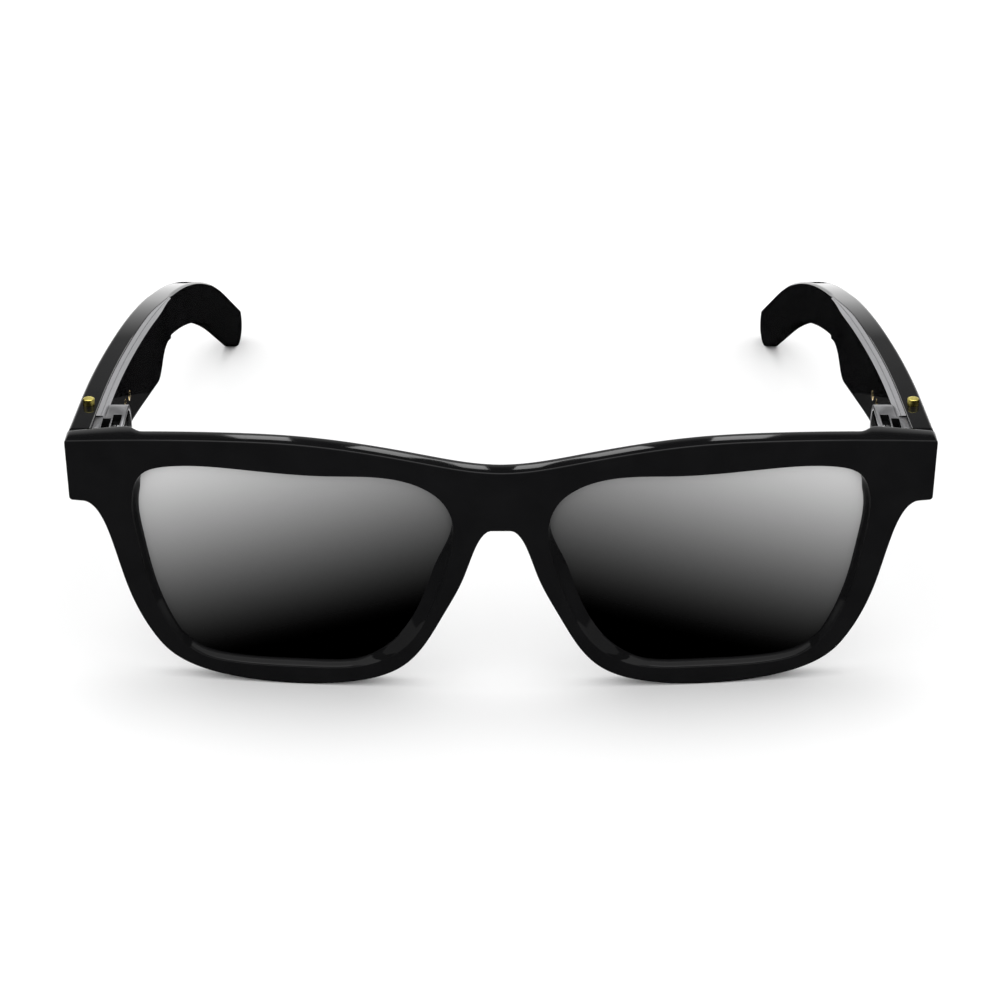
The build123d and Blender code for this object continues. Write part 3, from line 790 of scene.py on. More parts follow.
# ---------------------------------------------------------------- the front
@dataclass
class Front:
    """Front frame, lenses and nose pads."""

    datum: Datum
    lens: Opening = Opening(8.1, 62.8, 3.4, 40.9)
    rim: Opening = Opening(4.1, 67.2, 0.0, 44.3)
    wedge: float = 2.0
    seat_low: float = 0.9
    seat_side: float = 1.1
    thickness: float = 4.2
    lug_back: float = 4.55
    lug_start: float = 63.6
    lug_low: float = 32.9
    bridge_top: float = 41.2
    bridge_low: float = 30.3
    lens_depth: float = 1.55
    lens_end: float = 3.25
    lens_edge: float = 0.7
    front_round: float = 0.4
    back_round: float = 0.6
    steps: int = 5
    spare: float = 0.02
    drawing: float = 0.55
    notch: Flat = (4.3, 6.4)
    crown: float = 1.7
    wedge_least: float = 0.1
    nose_fade: Flat = (14.0, 26.0)
    side_fade: Flat = (50.0, 60.0)
    low_fade: Flat = (0.05, 0.3)
    top_fade: Flat = (0.86, 0.97)
    wedge_fade: Flat = (0.48, 0.80)
    pad_lean: float = 20.0
    pad_sides: int = 28
    lug_taper: float = 0.25
    lug_corner: float = 0.6
    lug_flat: float = 1.9

    def back(self, x: float) -> float:
        """Y of the back of the front at a distance x from the middle."""
        rim = self.datum.wrap(x) + self.thickness
        return rim + (self.lug_back - rim) * eased(x, self.lug_start - 2.6, self.lug_start + 0.4)

    def outer_line(self) -> list[Flat]:
        """Outline of the half front from the middle of the bridge's top round to its underside."""
        half = self.datum.half_width
        height = self.datum.height
        corner = (half, self.datum.corner)
        crest = self.bridge_top + 0.38 * (height - self.bridge_top)
        tops = [(0.0, self.bridge_top), (0.18 * half, crest), (0.455 * half, height - 0.15)]
        tops += [(0.62 * half, height), corner]
        top = drawn(tops, self.drawing, (1.0, 0.0), (1.0, -0.11))
        low_x = half - self.lug_taper
        foot_turn = self.lug_corner
        turn = 0.55
        crown = [(corner[0] - turn, corner[1] + 0.06), corner, (corner[0] - 0.005, corner[1] - turn)]
        side = [part_way(crown[2], (low_x, self.lug_low + foot_turn), i / 10) for i in range(10)]
        turns = spread(0, pi / 2, 0.25)
        foot = [(low_x - foot_turn * (1 - cos(a)), self.lug_low + foot_turn * (1 - sin(a))) for a in turns]
        notch_x = low_x - foot_turn - self.lug_flat
        wide, deep = self.notch
        bends = [(0.3, 0.08), (0.64, 0.37), (1.0, 1.0)]
        bend = [(notch_x - across * wide, self.lug_low - down * deep) for across, down in bends]
        rim = [self.rim.at(share) for share in RIM_LOW + RIM_NASAL]
        last = rim[-1][0]
        arch = [(0.8 * last, self.bridge_low - 0.43 * last), (0.58 * last, self.bridge_low - 0.12 * last)]
        arch.append((self.crown, self.bridge_low))
        under = drawn([(notch_x, self.lug_low), *bend, *rim, *arch], self.drawing, (-1.0, 0.0), (-1.0, 0.0))
        curve = ((part_way(crown[0], corner, u), part_way(corner, crown[2], u), u) for u in spread(0, 1, 0.2))
        rounded = [part_way(first, second, u) for first, second, u in curve]
        upper = [point for point in top if point[0] < crown[0][0] - 0.05]
        flat = [(share * self.crown, self.bridge_low) for share in (0.5, 0.0)]
        return [*upper, *rounded, *side[1:], *foot, *under, *flat]

    def bordered(self) -> list[tuple[Flat, Flat]]:
        """Points round the half front with the direction in which each edge is rounded."""
        line = self.outer_line()
        result = []
        for i, point in enumerate(line):
            before = line[i - 1] if i > 0 else (-line[1][0], line[1][1])
            after = line[i + 1] if i + 1 < len(line) else (-line[i - 1][0], line[i - 1][1])
            dx, dz = after[0] - before[0], after[1] - before[1]
            size = hypot(dx, dz)
            result.append((point, (-dz / size, dx / size)))
        rise = spread(self.bridge_low + 0.8, self.bridge_top - 0.8, 0.9)
        return result + [((0.0, z), (0.0, 0.0)) for z in rise]

    @staticmethod
    def facing(angle: float, angles: np.ndarray, line: np.ndarray) -> Flat:
        """Point of a line round the lens in the direction of an angle."""
        return tuple(float(np.interp(angle, angles, line[:, i], period=2 * pi)) for i in (0, 1))

    def section(self, outer: Flat, way: Flat, lip: Flat, seat: Flat) -> Row:
        """Closed section of the front between the lens opening and the outline."""
        away = hypot(outer[0] - lip[0], outer[1] - lip[1])
        out = ((outer[0] - lip[0]) / away, (outer[1] - lip[1]) / away)
        ring = [self.laid(moved(seat, out, along), depth, True) for along, depth in SEAT_TURN]
        ring += [self.laid(seat, self.lens_end + self.spare), self.laid(seat, self.lens_depth - self.spare)]
        ring += [self.laid(part_way(seat, lip, share), depth) for share, depth in LIP_WALL]
        ring += [self.laid(moved(lip, out, along), depth) for along, depth in LIP_TURN]
        inset = moved(outer, way, -self.front_round)
        ring += [self.laid(part_way(lip, inset, share), 0.0) for share in FACE_SHARES]
        turns = spread(0, pi / 2, pi / 2 / self.steps)
        ring += [self._rounded(outer, way, self.front_round, a, False) for a in turns]
        turns = spread(pi / 2, 0, -pi / 2 / self.steps)
        ring += [self._rounded(outer, way, self.back_round, a, True) for a in turns]
        deep = moved(outer, way, -self.back_round)
        ring += [self.laid(part_way(seat, deep, share), 0.0, True) for share in BACK_SHARES]
        return ring

    def laid(self, point: Flat, depth: float, back: bool = False) -> Spot:
        """Point at a depth under the front face, or under the back face."""
        x, z = point
        return self.datum.spot(x, self.back(x) - depth if back else self.datum.wrap(x) + depth, z)

    def _rounded(self, outer: Flat, way: Flat, radius: float, angle: float, back: bool) -> Spot:
        """Point on the rounding of the outline's front or back edge."""
        x, z = moved(outer, way, -radius * (1 - sin(angle)))
        return self.laid((max(x, 0.0), z), radius * (1 - cos(angle)), back)

    def ledge(self, point: Flat) -> float:
        """Width of the sloping wall inside the opening at a point of its outline."""
        box = self.lens
        share = (point[1] - box.low) / (box.high - box.low)
        nose = 1.0 - eased(point[0], *self.nose_fade)
        low = self.seat_low * (1.0 - eased(share, *self.low_fade))
        side = self.seat_side * eased(point[0], *self.side_fade) * (1.0 - eased(share, *self.top_fade))
        least = self.wedge_least
        wedge = least + (self.wedge - least) * (1.0 - eased(share, *self.wedge_fade))
        return nose * wedge + (1.0 - nose) * max(low, side)

    def seat_line(self, step: float, spare: float) -> list[Flat]:
        """Outline of the lens seat, moved outwards by spare."""
        line = self.lens.outline(step)[:-1]
        result = []
        for i, point in enumerate(line):
            before, after = line[i - 1], line[(i + 1) % len(line)]
            dx, dz = after[0] - before[0], after[1] - before[1]
            inset = (self.ledge(point) - spare) / hypot(dx, dz)
            result.append((point[0] - dz * inset, point[1] + dx * inset))
        return result

    def frame(self) -> None:
        """Rims, bridge and lugs in one skin."""
        centre = (0.5 * (self.lens.near + self.lens.distant), self.lug_low + 0.7)
        opening = np.array(self.lens.outline(0.3)[:-1])
        seat = np.array(self.seat_line(0.3, 0.0))
        angles = np.arctan2(opening[:, 1] - centre[1], opening[:, 0] - centre[0]) % (2 * pi)
        order = np.argsort(angles)
        angles, opening, seat = angles[order], opening[order], seat[order]
        rows = []
        for outer, way in self.bordered():
            angle = atan2(outer[1] - centre[1], outer[0] - centre[0]) % (2 * pi)
            lip, deep = (self.facing(angle, angles, line) for line in (opening, seat))
            rows.append(self.section(outer, way, lip, deep))
        piece = Bench.skin("front_frame_shell", rows, loop=True)
        self._open_middle(piece)
        Bench.apply(piece, "MIRROR", use_axis=(True, False, False), merge_threshold=1e-6, use_clip=True)
        Bench.close(piece)
        Bench.smooth(piece, 50.0)
        fit(piece, "front_frame", "front", FINISH.frame)

    @staticmethod
    def _open_middle(piece: bpy.types.Object) -> None:
        """Deletes the faces on the middle plane, where the two halves meet."""
        Bench.hold(piece)
        bpy.ops.object.mode_set(mode="EDIT")
        bpy.ops.mesh.select_mode(type="FACE")
        bpy.ops.mesh.select_all(action="DESELECT")
        bpy.ops.object.mode_set(mode="OBJECT")
        spots = piece.data.vertices
        for face in piece.data.polygons:
            face.select = all(abs(spots[v].co.x) < 1e-7 for v in face.vertices)
        bpy.ops.object.mode_set(mode="EDIT")
        bpy.ops.mesh.delete(type="FACE")
        bpy.ops.mesh.select_mode(type="VERT")
        bpy.ops.object.mode_set(mode="OBJECT")

    def lenses(self) -> None:
        """Both curved lenses."""
        line = self.seat_line(0.8, self.lens_edge)
        middle = (0.5 * (self.lens.near + self.lens.distant), 0.5 * (self.lens.low + self.lens.high))
        rows = []
        for depth, shares in ((self.lens_depth, (*LENS_RINGS, 1.0)), (self.lens_end, (1.0, *reversed(LENS_RINGS)))):
            for share in shares:
                ring = [part_way(middle, point, share) for point in line]
                slip = 0.06 if share == 1.0 else 0.0
                deep = depth + slip if depth == self.lens_depth else depth - slip
                rows.append([self.datum.spot(x, self.datum.wrap(x) + deep, z) for x, z in ring])
        piece = Bench.skin("lens_left_glass", rows)
        Bench.smooth(piece, 60.0)
        pair(piece, "lens", "front", FINISH.lens)

    def nose_pads(self) -> None:
        """Pads that flare back from the rims beside the nose."""
        low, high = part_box("nose_pad_left")
        near, start, floor = low.x / MM, low.y / MM, low.z / MM
        wide, long, tall = (high.x - low.x) / MM, (high.y - low.y) / MM, (high.z - low.z) / MM
        rows = []
        for i, share in enumerate(PAD_STATIONS):
            size = sqrt(max(0.0, 1.0 - (max(0.0, share - 0.15) / 0.85) ** 4))
            if i in (0, len(PAD_STATIONS) - 1):
                size = 0.0
            rows.append(self._pad_ring(share, size, (near, start, floor), (wide, long, tall)))
        piece = Bench.skin("nose_pad_left_fin", rows)
        Bench.apply(piece, "SUBSURF", levels=1, render_levels=1)
        Bench.smooth(piece, 70.0)
        pair(piece, "nose_pad", "front", FINISH.pad)

    def _pad_ring(self, share: float, size: float, corner: Spot, extent: Spot) -> Row:
        """Oval section of a nose pad at a share of its reach."""
        lean = radians(self.pad_lean)
        tall = (0.40 + 0.04 * share) * extent[2] * size
        thick = (1.45 - 0.35 * share) * size
        x = corner[0] + 2.9 + (extent[0] - 4.6) * share
        y = corner[1] + 0.15 + (extent[1] - 0.3) * share
        z = corner[2] + 0.5 * extent[2]
        ring = []
        for k in range(self.pad_sides):
            a = 2 * pi * k / self.pad_sides
            across, up = thick * cos(a), tall * sin(a)
            turned = across * cos(lean) - up * sin(lean)
            ring.append(((x + turned) * MM, y * MM, (z + up * cos(lean) + across * sin(lean)) * MM))
        return ring

    def build(self) -> None:
        """Builds the whole front."""
        self.frame()
        self.lenses()
        self.nose_pads()


# ---------------------------------------------------------------- the temples
@dataclass(frozen=True)
class TempleLine:
    """Lines that a temple follows, in millimetres from the front's outer top corner."""

    datum: Datum
    start: float = 4.8
    length: float = 148.75
    level: float = 1.7
    bend_start: float = 48.0
    bend_radius: float = 168.0
    hook: float = 32.24
    splay: float = 1.6
    taper_start: float = 19.0
    taper_radius: float = 324.0
    taper: float = 6.5
    hook_height: float = 8.2
    front_height: float = 10.0
    housing_height: float = 13.0
    housing_rear: float = 62.0
    housing_rise: float = 9.0

    def top(self, y: float) -> float:
        """Height of the top edge."""
        return self.datum.corner - fall(y, self.level, self.bend_start, self.bend_radius, self.hook)

    def outer(self, y: float, depth: float = 0.0) -> float:
        """X of the outer face, or of a line that deep inside it."""
        inward = fall(y, self.splay, self.taper_start, self.taper_radius, self.taper)
        return self.datum.half_width - inward - depth

    def lean(self, y: float) -> float:
        """Angle of the top edge, in radians, easing to level at the front end."""
        rise = sin(radians(self.level)) + max(0.0, y - self.bend_start) / self.bend_radius
        angle = min(radians(self.hook), asin(min(1.0, rise)))
        return angle * eased(y, self.start, self.start + 24.0)

    def under(self, y: float, drop: float, push: float = 0.0) -> Flat:
        """Point square below the top edge, as (y, z), pushed on along the edge."""
        lean = self.lean(y)
        ahead = (push * cos(lean) - drop * sin(lean), -push * sin(lean) - drop * cos(lean))
        return (y + ahead[0], self.top(y) + ahead[1])

    def low_line(self) -> list[Flat]:
        """Lower edge from the front end to the tip, as (y, z)."""
        low = self.top(self.housing_rear) - self.housing_height
        first = (self.start, self.top(self.start) - self.front_height)
        bend = [(self.housing_rear - 3.0, low + 0.1), (self.housing_rear, low + 0.6)]
        bend.append((self.housing_rear + 0.35 * self.housing_rise, low + 2.4))
        hook_start = self.housing_rear + self.housing_rise + 3.0
        hook = [self.under(y, self.hook_height) for y in spread(hook_start, self.length, 2.0)]
        way = (bend[0][0] - first[0], bend[0][1] - first[1])
        onward = (hook[1][0] - hook[0][0], hook[1][1] - hook[0][1])
        return [first, *drawn([*bend, hook[0]], 0.4, way, onward), *hook[1:]]

    def drop(self, y: float, line: list[Flat]) -> float:
        """Distance square from the top edge to the lower edge."""
        lean = self.lean(y)
        if y <= self.start:
            return self.front_height
        if y > self.length - 1.0:
            return self.hook_height
        top = self.top(y)
        way = (-sin(lean), -cos(lean))
        for (y0, z0), (y1, z1) in zip(line, line[1:]):
            span = (y1 - y0, z1 - z0)
            det = span[0] * way[1] - span[1] * way[0]
            if abs(det) < 1e-12:
                continue
            share = ((y - y0) * way[1] - (top - z0) * way[0]) / det
            if -1e-9 <= share <= 1.0 + 1e-9:
                return hypot(y - y0 - share * span[0], top - z0 - share * span[1])
        return self.hook_height

    def spot(self, y: float, depth: float, drop: float, push: float = 0.0) -> Spot:
        """Point of a temple section in the part's own frame."""
        across, up = self.under(y, drop, push)
        return self.datum.spot(self.outer(across, depth), across, up)


@dataclass
class Temple:
    """Outer shell with its hook, and the inner cover of the electronics."""

    line: TempleLine
    shell_depth: float = 3.7
    housing_depth: float = 5.4
    hook_depth: float = 4.3
    tip_depth: float = 3.0
    tip_bulge: float = 2.6
    cover_start: float = 11.3
    cover_end: float = 76.0
    cover_taper: float = 16.0
    cover_step: float = 0.5
    joint_gap: float = 0.04
    outer_round: float = 0.4
    joint_round: float = 0.1
    hook_round: float = 0.55
    bevel_width: float = 0.5
    bevel_drop: float = 0.56
    seam: float = 0.05
    step: float = 0.9
    tip_steps: int = 14
    strip_slope: float = 0.3
    contacts: Flat = (32.0, 36.0)
    contact_drop: float = 6.5
    contact_radius: float = 0.98
    light: float = 25.0
    light_drop: float = 5.0
    light_radius: float = 0.58
    drilled: float = 1.7

    def split(self, y: float) -> float:
        """Depth of the joint between shell and cover."""
        ease = eased(y, self.cover_end - self.cover_taper, self.cover_end)
        return self.shell_depth + (self.hook_depth - self.shell_depth) * ease

    def inner(self, y: float) -> float:
        """Depth of the shell's inner face, behind the cover and along the hook."""
        if y <= self.cover_end:
            return self.split(y)
        share = (y - self.cover_end) / (self.line.length - self.cover_end)
        return self.hook_depth + (self.tip_depth - self.hook_depth) * share

    def cover_face(self, y: float) -> float:
        """Depth of the cover's inner face."""
        rear = self.hook_depth + self.cover_step
        ease = eased(y, self.cover_end - self.cover_taper, self.cover_end)
        return self.housing_depth + (rear - self.housing_depth) * ease

    @staticmethod
    def oblong(near: float, distant: float, low: float, high: float, rounds: Flat) -> list[Flat]:
        """Rounded oblong section as (depth, drop).

        Args:
            near: depth of its outer face.
            distant: depth of its inner face.
            low: drop of its upper edge.
            high: drop of its lower edge.
            rounds: radius of the outer and of the inner edges.

        Returns:
            Points round the section, with a supporting point beside each rounding.
        """
        limit = 0.49 * (high - low)
        outer, inner = (min(r, limit, 0.49 * (distant - near)) for r in rounds)
        corners = [(near, low, 1, 1, outer), (near, high, 1, -1, outer)]
        corners += [(distant, high, -1, -1, inner), (distant, low, -1, 1, inner)]
        ring: list[Flat] = []
        for k, (x, z, sx, sz, r) in enumerate(corners):
            angles = spread(0, pi / 2, pi / 8) if k % 2 == 0 else spread(pi / 2, 0, -pi / 8)
            arc = [(x + sx * r * (1 - sin(a)), z + sz * r * (1 - cos(a))) for a in angles]
            guard = min(0.2, 0.4 * limit)
            if k % 2 == 0:
                arc = [(arc[0][0] + sx * guard, arc[0][1]), *arc, (arc[-1][0], arc[-1][1] + sz * guard)]
            else:
                arc = [(arc[0][0], arc[0][1] + sz * guard), *arc, (arc[-1][0] + sx * guard, arc[-1][1])]
            ring += arc
        return ring

    def row(self, y: float, section: list[Flat], push: float = 0.0) -> Row:
        """Section placed at a station of the temple."""
        return [self.line.spot(y, depth, drop, push) for depth, drop in section]

    def shell_section(self, y: float, low_line: list[Flat], trim: float = 0.0) -> list[Flat]:
        """Section of the shell at a station, made smaller by trim."""
        ease = eased(y, self.cover_end - 2.0, self.cover_end + 4.0)
        outer = self.outer_round + (self.hook_round - self.outer_round) * ease
        inner = self.joint_round + (self.hook_round - self.joint_round) * ease
        drop = self.line.drop(y, low_line)
        return self.oblong(trim, self.inner(y) - trim, trim, drop - trim, (outer, inner))

    def shell(self) -> bpy.types.Object:
        """Outer shell from the hinge to the tip."""
        line = self.line
        low_line = line.low_line()
        first = self.shell_section(line.start, low_line, 0.15)
        middle = (0.5 * self.shell_depth, 0.5 * line.front_height)
        rows = [self.row(line.start, [middle] * len(first)), self.row(line.start, first)]
        rows.append(self.row(line.start + 0.05, self.shell_section(line.start, low_line, 0.04)))
        for y in spread(line.start + 0.15, line.length, self.step):
            rows.append(self.row(y, self.shell_section(y, low_line)))
        radius = ((0.5 * line.hook_height) ** 2 + self.tip_bulge**2) / (2 * self.tip_bulge)
        widest = asin(0.5 * line.hook_height / radius)
        thick = self.inner(line.length)
        for angle in spread(widest, 0.0, -widest / self.tip_steps)[1:]:
            push = radius * cos(angle) - radius + self.tip_bulge
            half = radius * sin(angle)
            centre = 0.5 * line.hook_height
            section = self.oblong(0.0, thick, centre - half, centre + half, (self.hook_round, self.hook_round))
            rows.append(self.row(line.length, section, push))
        piece = Bench.skin("temple_left_shell", rows)
        for tool in (self._button_bore(), self._outlet(), self._port()):
            Bench.cut(piece, tool)
        Bench.smooth(piece, 40.0)
        return piece

    def _button_bore(self) -> bpy.types.Object:
        """Tool for the bore that the button moves in."""
        low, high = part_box("button_cap_left")
        gap, depth, under = 0.00007, 0.006, 0.0006
        radius = 0.5 * (high.x - low.x) + gap
        spot = (0.5 * (low.x + high.x), 0.5 * (low.y + high.y), low.z - under + 0.5 * depth)
        return Bench.rod(spot, radius, depth)

    @staticmethod
    def _outlet() -> bpy.types.Object:
        """Tool for the slot that the sound mesh lies in."""
        low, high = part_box("sound_mesh_left")
        gap, depth = 0.0001, 0.003
        Bench.clear()
        bpy.ops.mesh.primitive_cube_add(size=1.0, location=0.5 * (low + high))
        tool = bpy.context.object
        tool.scale = (high.x - low.x + gap, high.y - low.y + gap, depth)
        bpy.ops.object.transform_apply(location=True, scale=True)
        return tool

    @staticmethod
    def _port() -> bpy.types.Object:
        """Tool for the microphone's port."""
        low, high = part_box("microphone_left")
        radius, depth, under = 0.0004, 0.002, 0.0008
        spot = (0.5 * (low.x + high.x), 0.5 * (low.y + high.y), low.z - under)
        return Bench.rod(spot, radius, depth, 24)

    def cover_section(self, y: float, low_line: list[Flat], trim: float = 0.0) -> list[Flat]:
        """Section of the cover at a station, with its bevel and the seam in its upper face."""
        near = self.split(y) + self.joint_gap + trim
        distant = self.cover_face(y) - trim
        drop = self.line.drop(y, low_line) - trim
        thick = distant - near
        bevel = min(self.bevel_width, 0.4 * thick)
        fallen = bevel * self.bevel_drop / self.bevel_width
        seam = near + 0.56 * thick
        cut = min(self.seam, 0.05 * thick)
        top = trim
        ring = [(near, top + 0.06), (near + 0.02, top + 0.015), (near + 0.06, top), (near + 0.14, top)]
        ring += [(seam - 1.6 * cut, top), (seam - cut, top), (seam - cut, top + 2.2 * cut)]
        ring += [(seam + cut, top + 2.2 * cut), (seam + cut, top), (seam + 1.6 * cut, top)]
        ring += [(distant - bevel - 0.06, top), (distant - bevel, top + 0.01), (distant - 0.02, top + fallen - 0.02)]
        ring += [(distant, top + fallen + 0.05), (distant, top + fallen + 0.2)]
        ring += [(distant, drop - 0.55)]
        ring += [(distant - 0.35 * (1 - cos(a)), drop - 0.35 * (1 - sin(a))) for a in spread(0, pi / 2, pi / 8)]
        ring += [(near + 0.3, drop), (near + 0.08, drop), (near, drop - 0.08), (near, drop - 0.4)]
        return ring

    def cover(self) -> bpy.types.Object:
        """Inner cover, with its upward faces painted grey as a painted highlight."""
        low_line = self.line.low_line()
        end = self.cover_end - 0.5
        first = self.cover_section(self.cover_start, low_line, 0.06)
        last = self.cover_section(end, low_line, 0.12)
        pole = (0.5 * (self.shell_depth + self.housing_depth), 5.0)
        rear = (0.5 * (self.split(end) + self.cover_face(end)), 4.0)
        rows = [self.row(self.cover_start, [pole] * len(first)), self.row(self.cover_start, first)]
        for y in spread(self.cover_start + 0.06, end - 0.15, self.step):
            rows.append(self.row(y, self.cover_section(y, low_line)))
        rows += [self.row(end, last), self.row(end, [rear] * len(last))]
        piece = Bench.skin("temple_left_cover", rows)
        for y in self.contacts:
            Bench.cut(piece, self._drill(y, self.contact_drop, self.contact_radius))
        Bench.cut(piece, self._drill(self.light, self.light_drop, self.light_radius))
        piece.data.materials.append(FINISH.cover.made())
        piece.data.materials.append(FINISH.strip.made())
        # Faces that point upwards get the grey painted highlight of the light from above.
        for face in piece.data.polygons:
            face.material_index = int(face.normal.z > self.strip_slope)
        Bench.smooth(piece, 30.0)
        return piece

    def _drill(self, y: float, below: float, radius: float) -> bpy.types.Object:
        """Tool for a round recess in the cover's inner face."""
        line = self.line
        turn = atan2(line.outer(y - 0.5) - line.outer(y + 0.5), 1.0)
        spot = line.datum.spot(line.outer(y, self.housing_depth), y, line.top(y) - below)
        return Bench.rod(spot, radius * MM, self.drilled * MM, 48, (0.0, pi / 2, turn))

    def build(self) -> None:
        """Builds both temples."""
        pair(self.shell(), "temple_shell", "temple_{side}", FINISH.temple)
        pair(self.cover(), "temple_cover", "temple_{side}", FINISH.cover)


# ---------------------------------------------------------------- fittings
@dataclass
class Fittings:
    """Hinge parts, button, contacts and the parts inside the temples."""

    edge: float = 0.00008
    pocket_rim: Spot = (0.0004, 0.0004, 0.0006)

    def button(self) -> None:
        """Gold press buttons with a rounded rim."""
        low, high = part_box("button_cap_left")
        radius = 0.5 * (high.x - low.x)
        piece = Bench.rod(0.5 * (low + high), radius, high.z - low.z)
        piece.name = piece.data.name = "button_left_stud"
        bpy.ops.object.transform_apply(location=True)
        Bench.apply(piece, "BEVEL", width=0.2 * radius, segments=5, limit_method="ANGLE", angle_limit=radians(60.0))
        Bench.smooth(piece, 50.0)
        pair(piece, "button_cap", "button_{side}", FINISH.button)

    def _darken(self, piece: bpy.types.Object) -> None:
        """Paints the faces inside the hinge block's pockets black as painted shade."""
        low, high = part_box("hinge_block_left")
        piece.data.materials.append(FINISH.hinge.made())
        piece.data.materials.append(FINISH.cap.made())
        # Faces inside the pockets get the black painted shade.
        for face in piece.data.polygons:
            insides = (low[i] + rim < face.center[i] < high[i] - rim for i, rim in enumerate(self.pocket_rim))
            face.material_index = int(all(insides))

    def metalwork(self) -> None:
        """Hinge parts, contacts and other hard pieces with softened edges."""
        table = (
            ("hinge_block", "temple_{side}", FINISH.hinge, 1.2),
            ("hinge_cap", "temple_{side}", FINISH.cap, 0.6),
            ("hinge_screw", "temple_{side}", FINISH.screw, 0.6),
            ("hinge_front_leaf", "front", FINISH.hinge, 0.8),
            ("hinge_leaf_screws", "front", FINISH.screw, 0.5),
            ("charging_contacts", "temple_{side}", FINISH.contact, 0.8),
            ("status_light", "temple_{side}", FINISH.light, 0.6),
            ("sound_mesh", "temple_{side}", FINISH.mesh, 0.5),
        )
        for stem, body, finish, width in table:
            piece = Bench.from_node(f"{stem}_left_part", f"{stem}_left", width * self.edge)
            if stem == "hinge_block":
                self._darken(piece)
            pair(piece, stem, body, finish)

    def inside(self) -> None:
        """Gives the parts inside the temples their finishes."""
        table = {
            "battery": FINISH.foil,
            "main_board": FINISH.board,
            "board_chips": FINISH.chip,
            "speaker": FINISH.speaker,
            "antenna_strip": FINISH.copper,
            "button_flex": FINISH.flex,
            "microphone": FINISH.can,
            "button_switch": FINISH.switch,
        }
        for stem, finish in table.items():
            for side in Side:
                node = frame["nodes"][f"{stem}_{side.word}"]
                node.data.materials.clear()
                node.data.materials.append(finish.made())

    def build(self) -> None:
        """Builds every fitting."""
        self.button()
        self.metalwork()
        self.inside()


# ---------------------------------------------------------------- the studio
def aimed(place: Spot, target: Spot) -> Euler:
    """Rotation of a panel or lamp that looks from its place at a target."""
    return (Vector(target) - Vector(place)).to_track_quat("-Z", "Y").to_euler()


@dataclass(frozen=True)
class Card:
    """Bright panel that only shows in the gloss of the glasses."""

    name: str
    place: Spot
    target: Spot
    size: Flat
    strength: float
    fade: Flat | None = None

    def build(self) -> None:
        """Builds the panel, which fades from bright to dark between two shares of its height."""
        Bench.clear()
        bpy.ops.mesh.primitive_plane_add(size=1.0, location=self.place)
        panel = bpy.context.object
        panel.name = self.name
        panel.scale = (*self.size, 1.0)
        panel.rotation_euler = aimed(self.place, self.target)
        web = Web(self.name)
        web.finish(Base_Color=(0.0, 0.0, 0.0, 1.0), Emission_Strength=self.strength)
        web.finish(Emission_Color=(1.0, 1.0, 1.0, 1.0))
        if self.fade is not None:
            _, up, _ = web.axes()
            web.finish(Emission_Color=web.blend(up.over(*self.fade), (1.0, 1.0, 1.0), (0.0, 0.0, 0.0)))
        panel.data.materials.append(web.material)
        for ray in ("camera", "diffuse", "transmission", "shadow", "volume_scatter"):
            setattr(panel, "visible_" + ray, False)


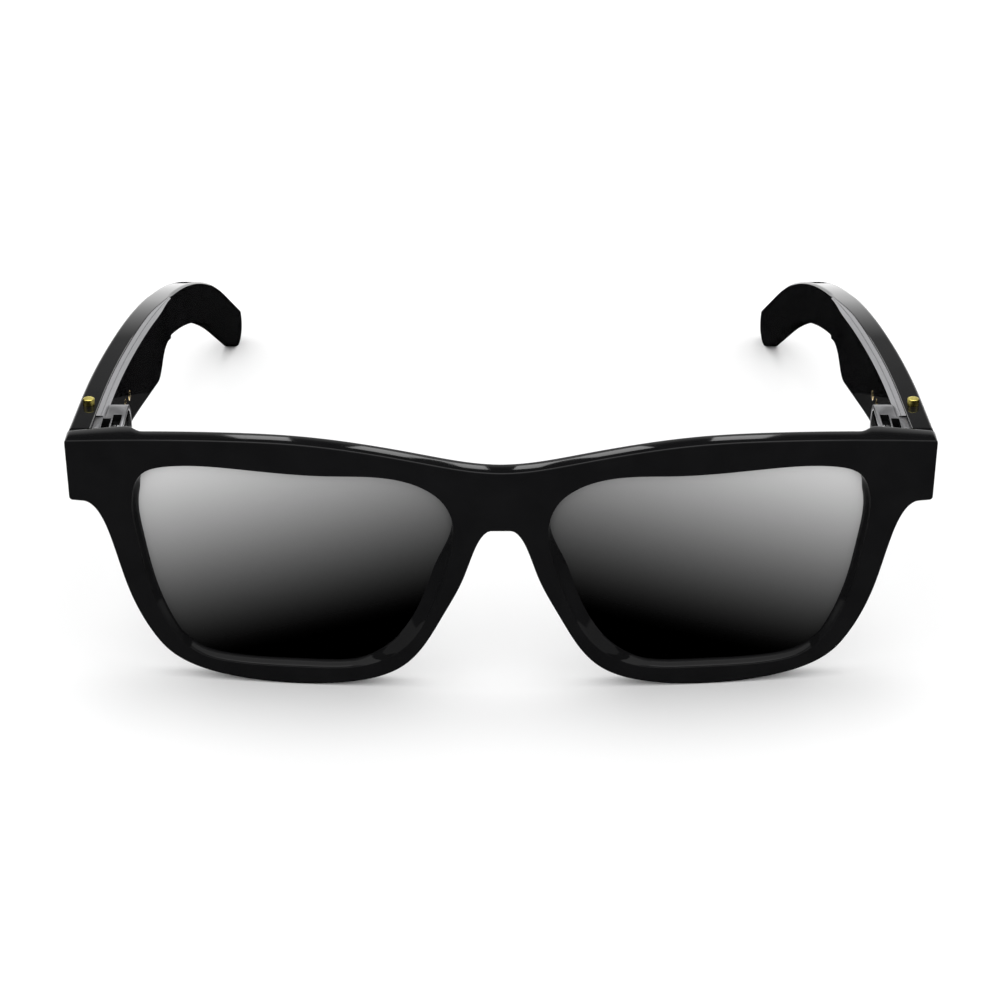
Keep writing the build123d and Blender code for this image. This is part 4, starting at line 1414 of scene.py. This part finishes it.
@dataclass
class Studio:
    """Floor, lights and camera."""

    datum: Datum
    pitch: float = 26.0
    lens: float = 109.16
    back: float = 465.35
    height: float = 259.9
    surround: float = 1.2
    lamp_power: float = 2.5

    def floor(self) -> None:
        """Pale matt floor."""
        Bench.clear()
        bpy.ops.mesh.primitive_plane_add(size=6.0, location=(0.0, 0.0, 0.0))
        ground = bpy.context.object
        ground.name = "studio_floor"
        web = Web("pale floor")
        cloud = web.noise(6.0, 2.0)
        pale = web.blend(cloud, (0.86, 0.86, 0.86), (0.88, 0.88, 0.88))
        web.finish(Base_Color=pale, Roughness=0.9, Specular_IOR_Level=0.0)
        ground.data.materials.append(web.material)
        ground.visible_glossy = False

    def lamp(self, name: str, place: Spot, target: Spot, size: Flat, power: float) -> None:
        """Rectangular soft light that looks at a point."""
        data = bpy.data.lights.new(name, "AREA")
        data.shape = "RECTANGLE"
        data.size, data.size_y = size
        data.energy = power
        lamp = bpy.data.objects.new(name, data)
        lamp.location = place
        lamp.rotation_euler = aimed(place, target)
        bpy.context.scene.collection.objects.link(lamp)

    def sky(self, strength: float) -> None:
        """Even pale surroundings."""
        world = bpy.data.worlds.new("studio surroundings")
        world.use_nodes = True
        shade = world.node_tree.nodes["Background"]
        shade.inputs["Color"].default_value = (1.0, 1.0, 1.0, 1.0)
        shade.inputs["Strength"].default_value = strength
        world.cycles_visibility.glossy = False
        bpy.context.scene.world = world

    def camera(self) -> None:
        """Camera ahead of the glasses, looking down at them."""
        data = bpy.data.cameras.new("camera")
        data.lens = self.lens
        data.sensor_width = 36.0
        data.shift_x = -0.001
        data.clip_start = 0.01
        viewer = bpy.data.objects.new("camera", data)
        viewer.location = (0.0, (self.datum.shift - self.back) * MM, self.height * MM)
        viewer.rotation_euler = (radians(90.0 - self.pitch), 0.0, 0.0)
        bpy.context.scene.collection.objects.link(viewer)
        bpy.context.scene.camera = viewer

    def build(self) -> None:
        """Builds the studio."""
        self.camera()
        self.floor()
        self.sky(self.surround)
        middle = (0.0, 0.0, 0.0)
        self.lamp("top light", (0.0, 0.15, 1.1), middle, (0.8, 0.6), self.lamp_power)
        cards = [
            Card("overhead_card", (0.0, 0.1, 1.6), middle, (3.0, 2.2), 1.4),
            Card("horizon_card", (0.0, 2.0, 0.25), (0.0, 0.0, 0.25), (3.6, 1.5), 1.6, (-0.1, 0.44)),
            Card("floor_card", (0.0, -0.01, -0.0006), (0.0, -0.01, -1.0), (0.13, 0.11), 3.0, (0.16, 0.4)),
        ]
        for side in (Side.RIGHT.value, Side.LEFT.value):
            cards.append(Card(f"back_card_{side}", (side * 0.19, 1.9, 0.92), (0.0, 0.0, 0.05), (0.16, 0.3), 3.0))
            cards.append(Card(f"side_card_{side}", (side * 1.6, -0.5, 0.5), middle, (1.2, 1.0), 0.5))
        for card in cards:
            card.build()
        view = bpy.context.scene.view_settings
        view.view_transform = "Standard"
        view.look = "None"


def main() -> None:
    """Builds the glasses and the studio."""
    logging.basicConfig(level=logging.INFO, format="%(message)s")
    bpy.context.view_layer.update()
    datum = Datum.read()
    Studio(datum).build()
    Front(datum).build()
    Temple(TempleLine(datum)).build()
    Fittings().build()
    Bench.clear()


if __name__ == "__main__":
    main()
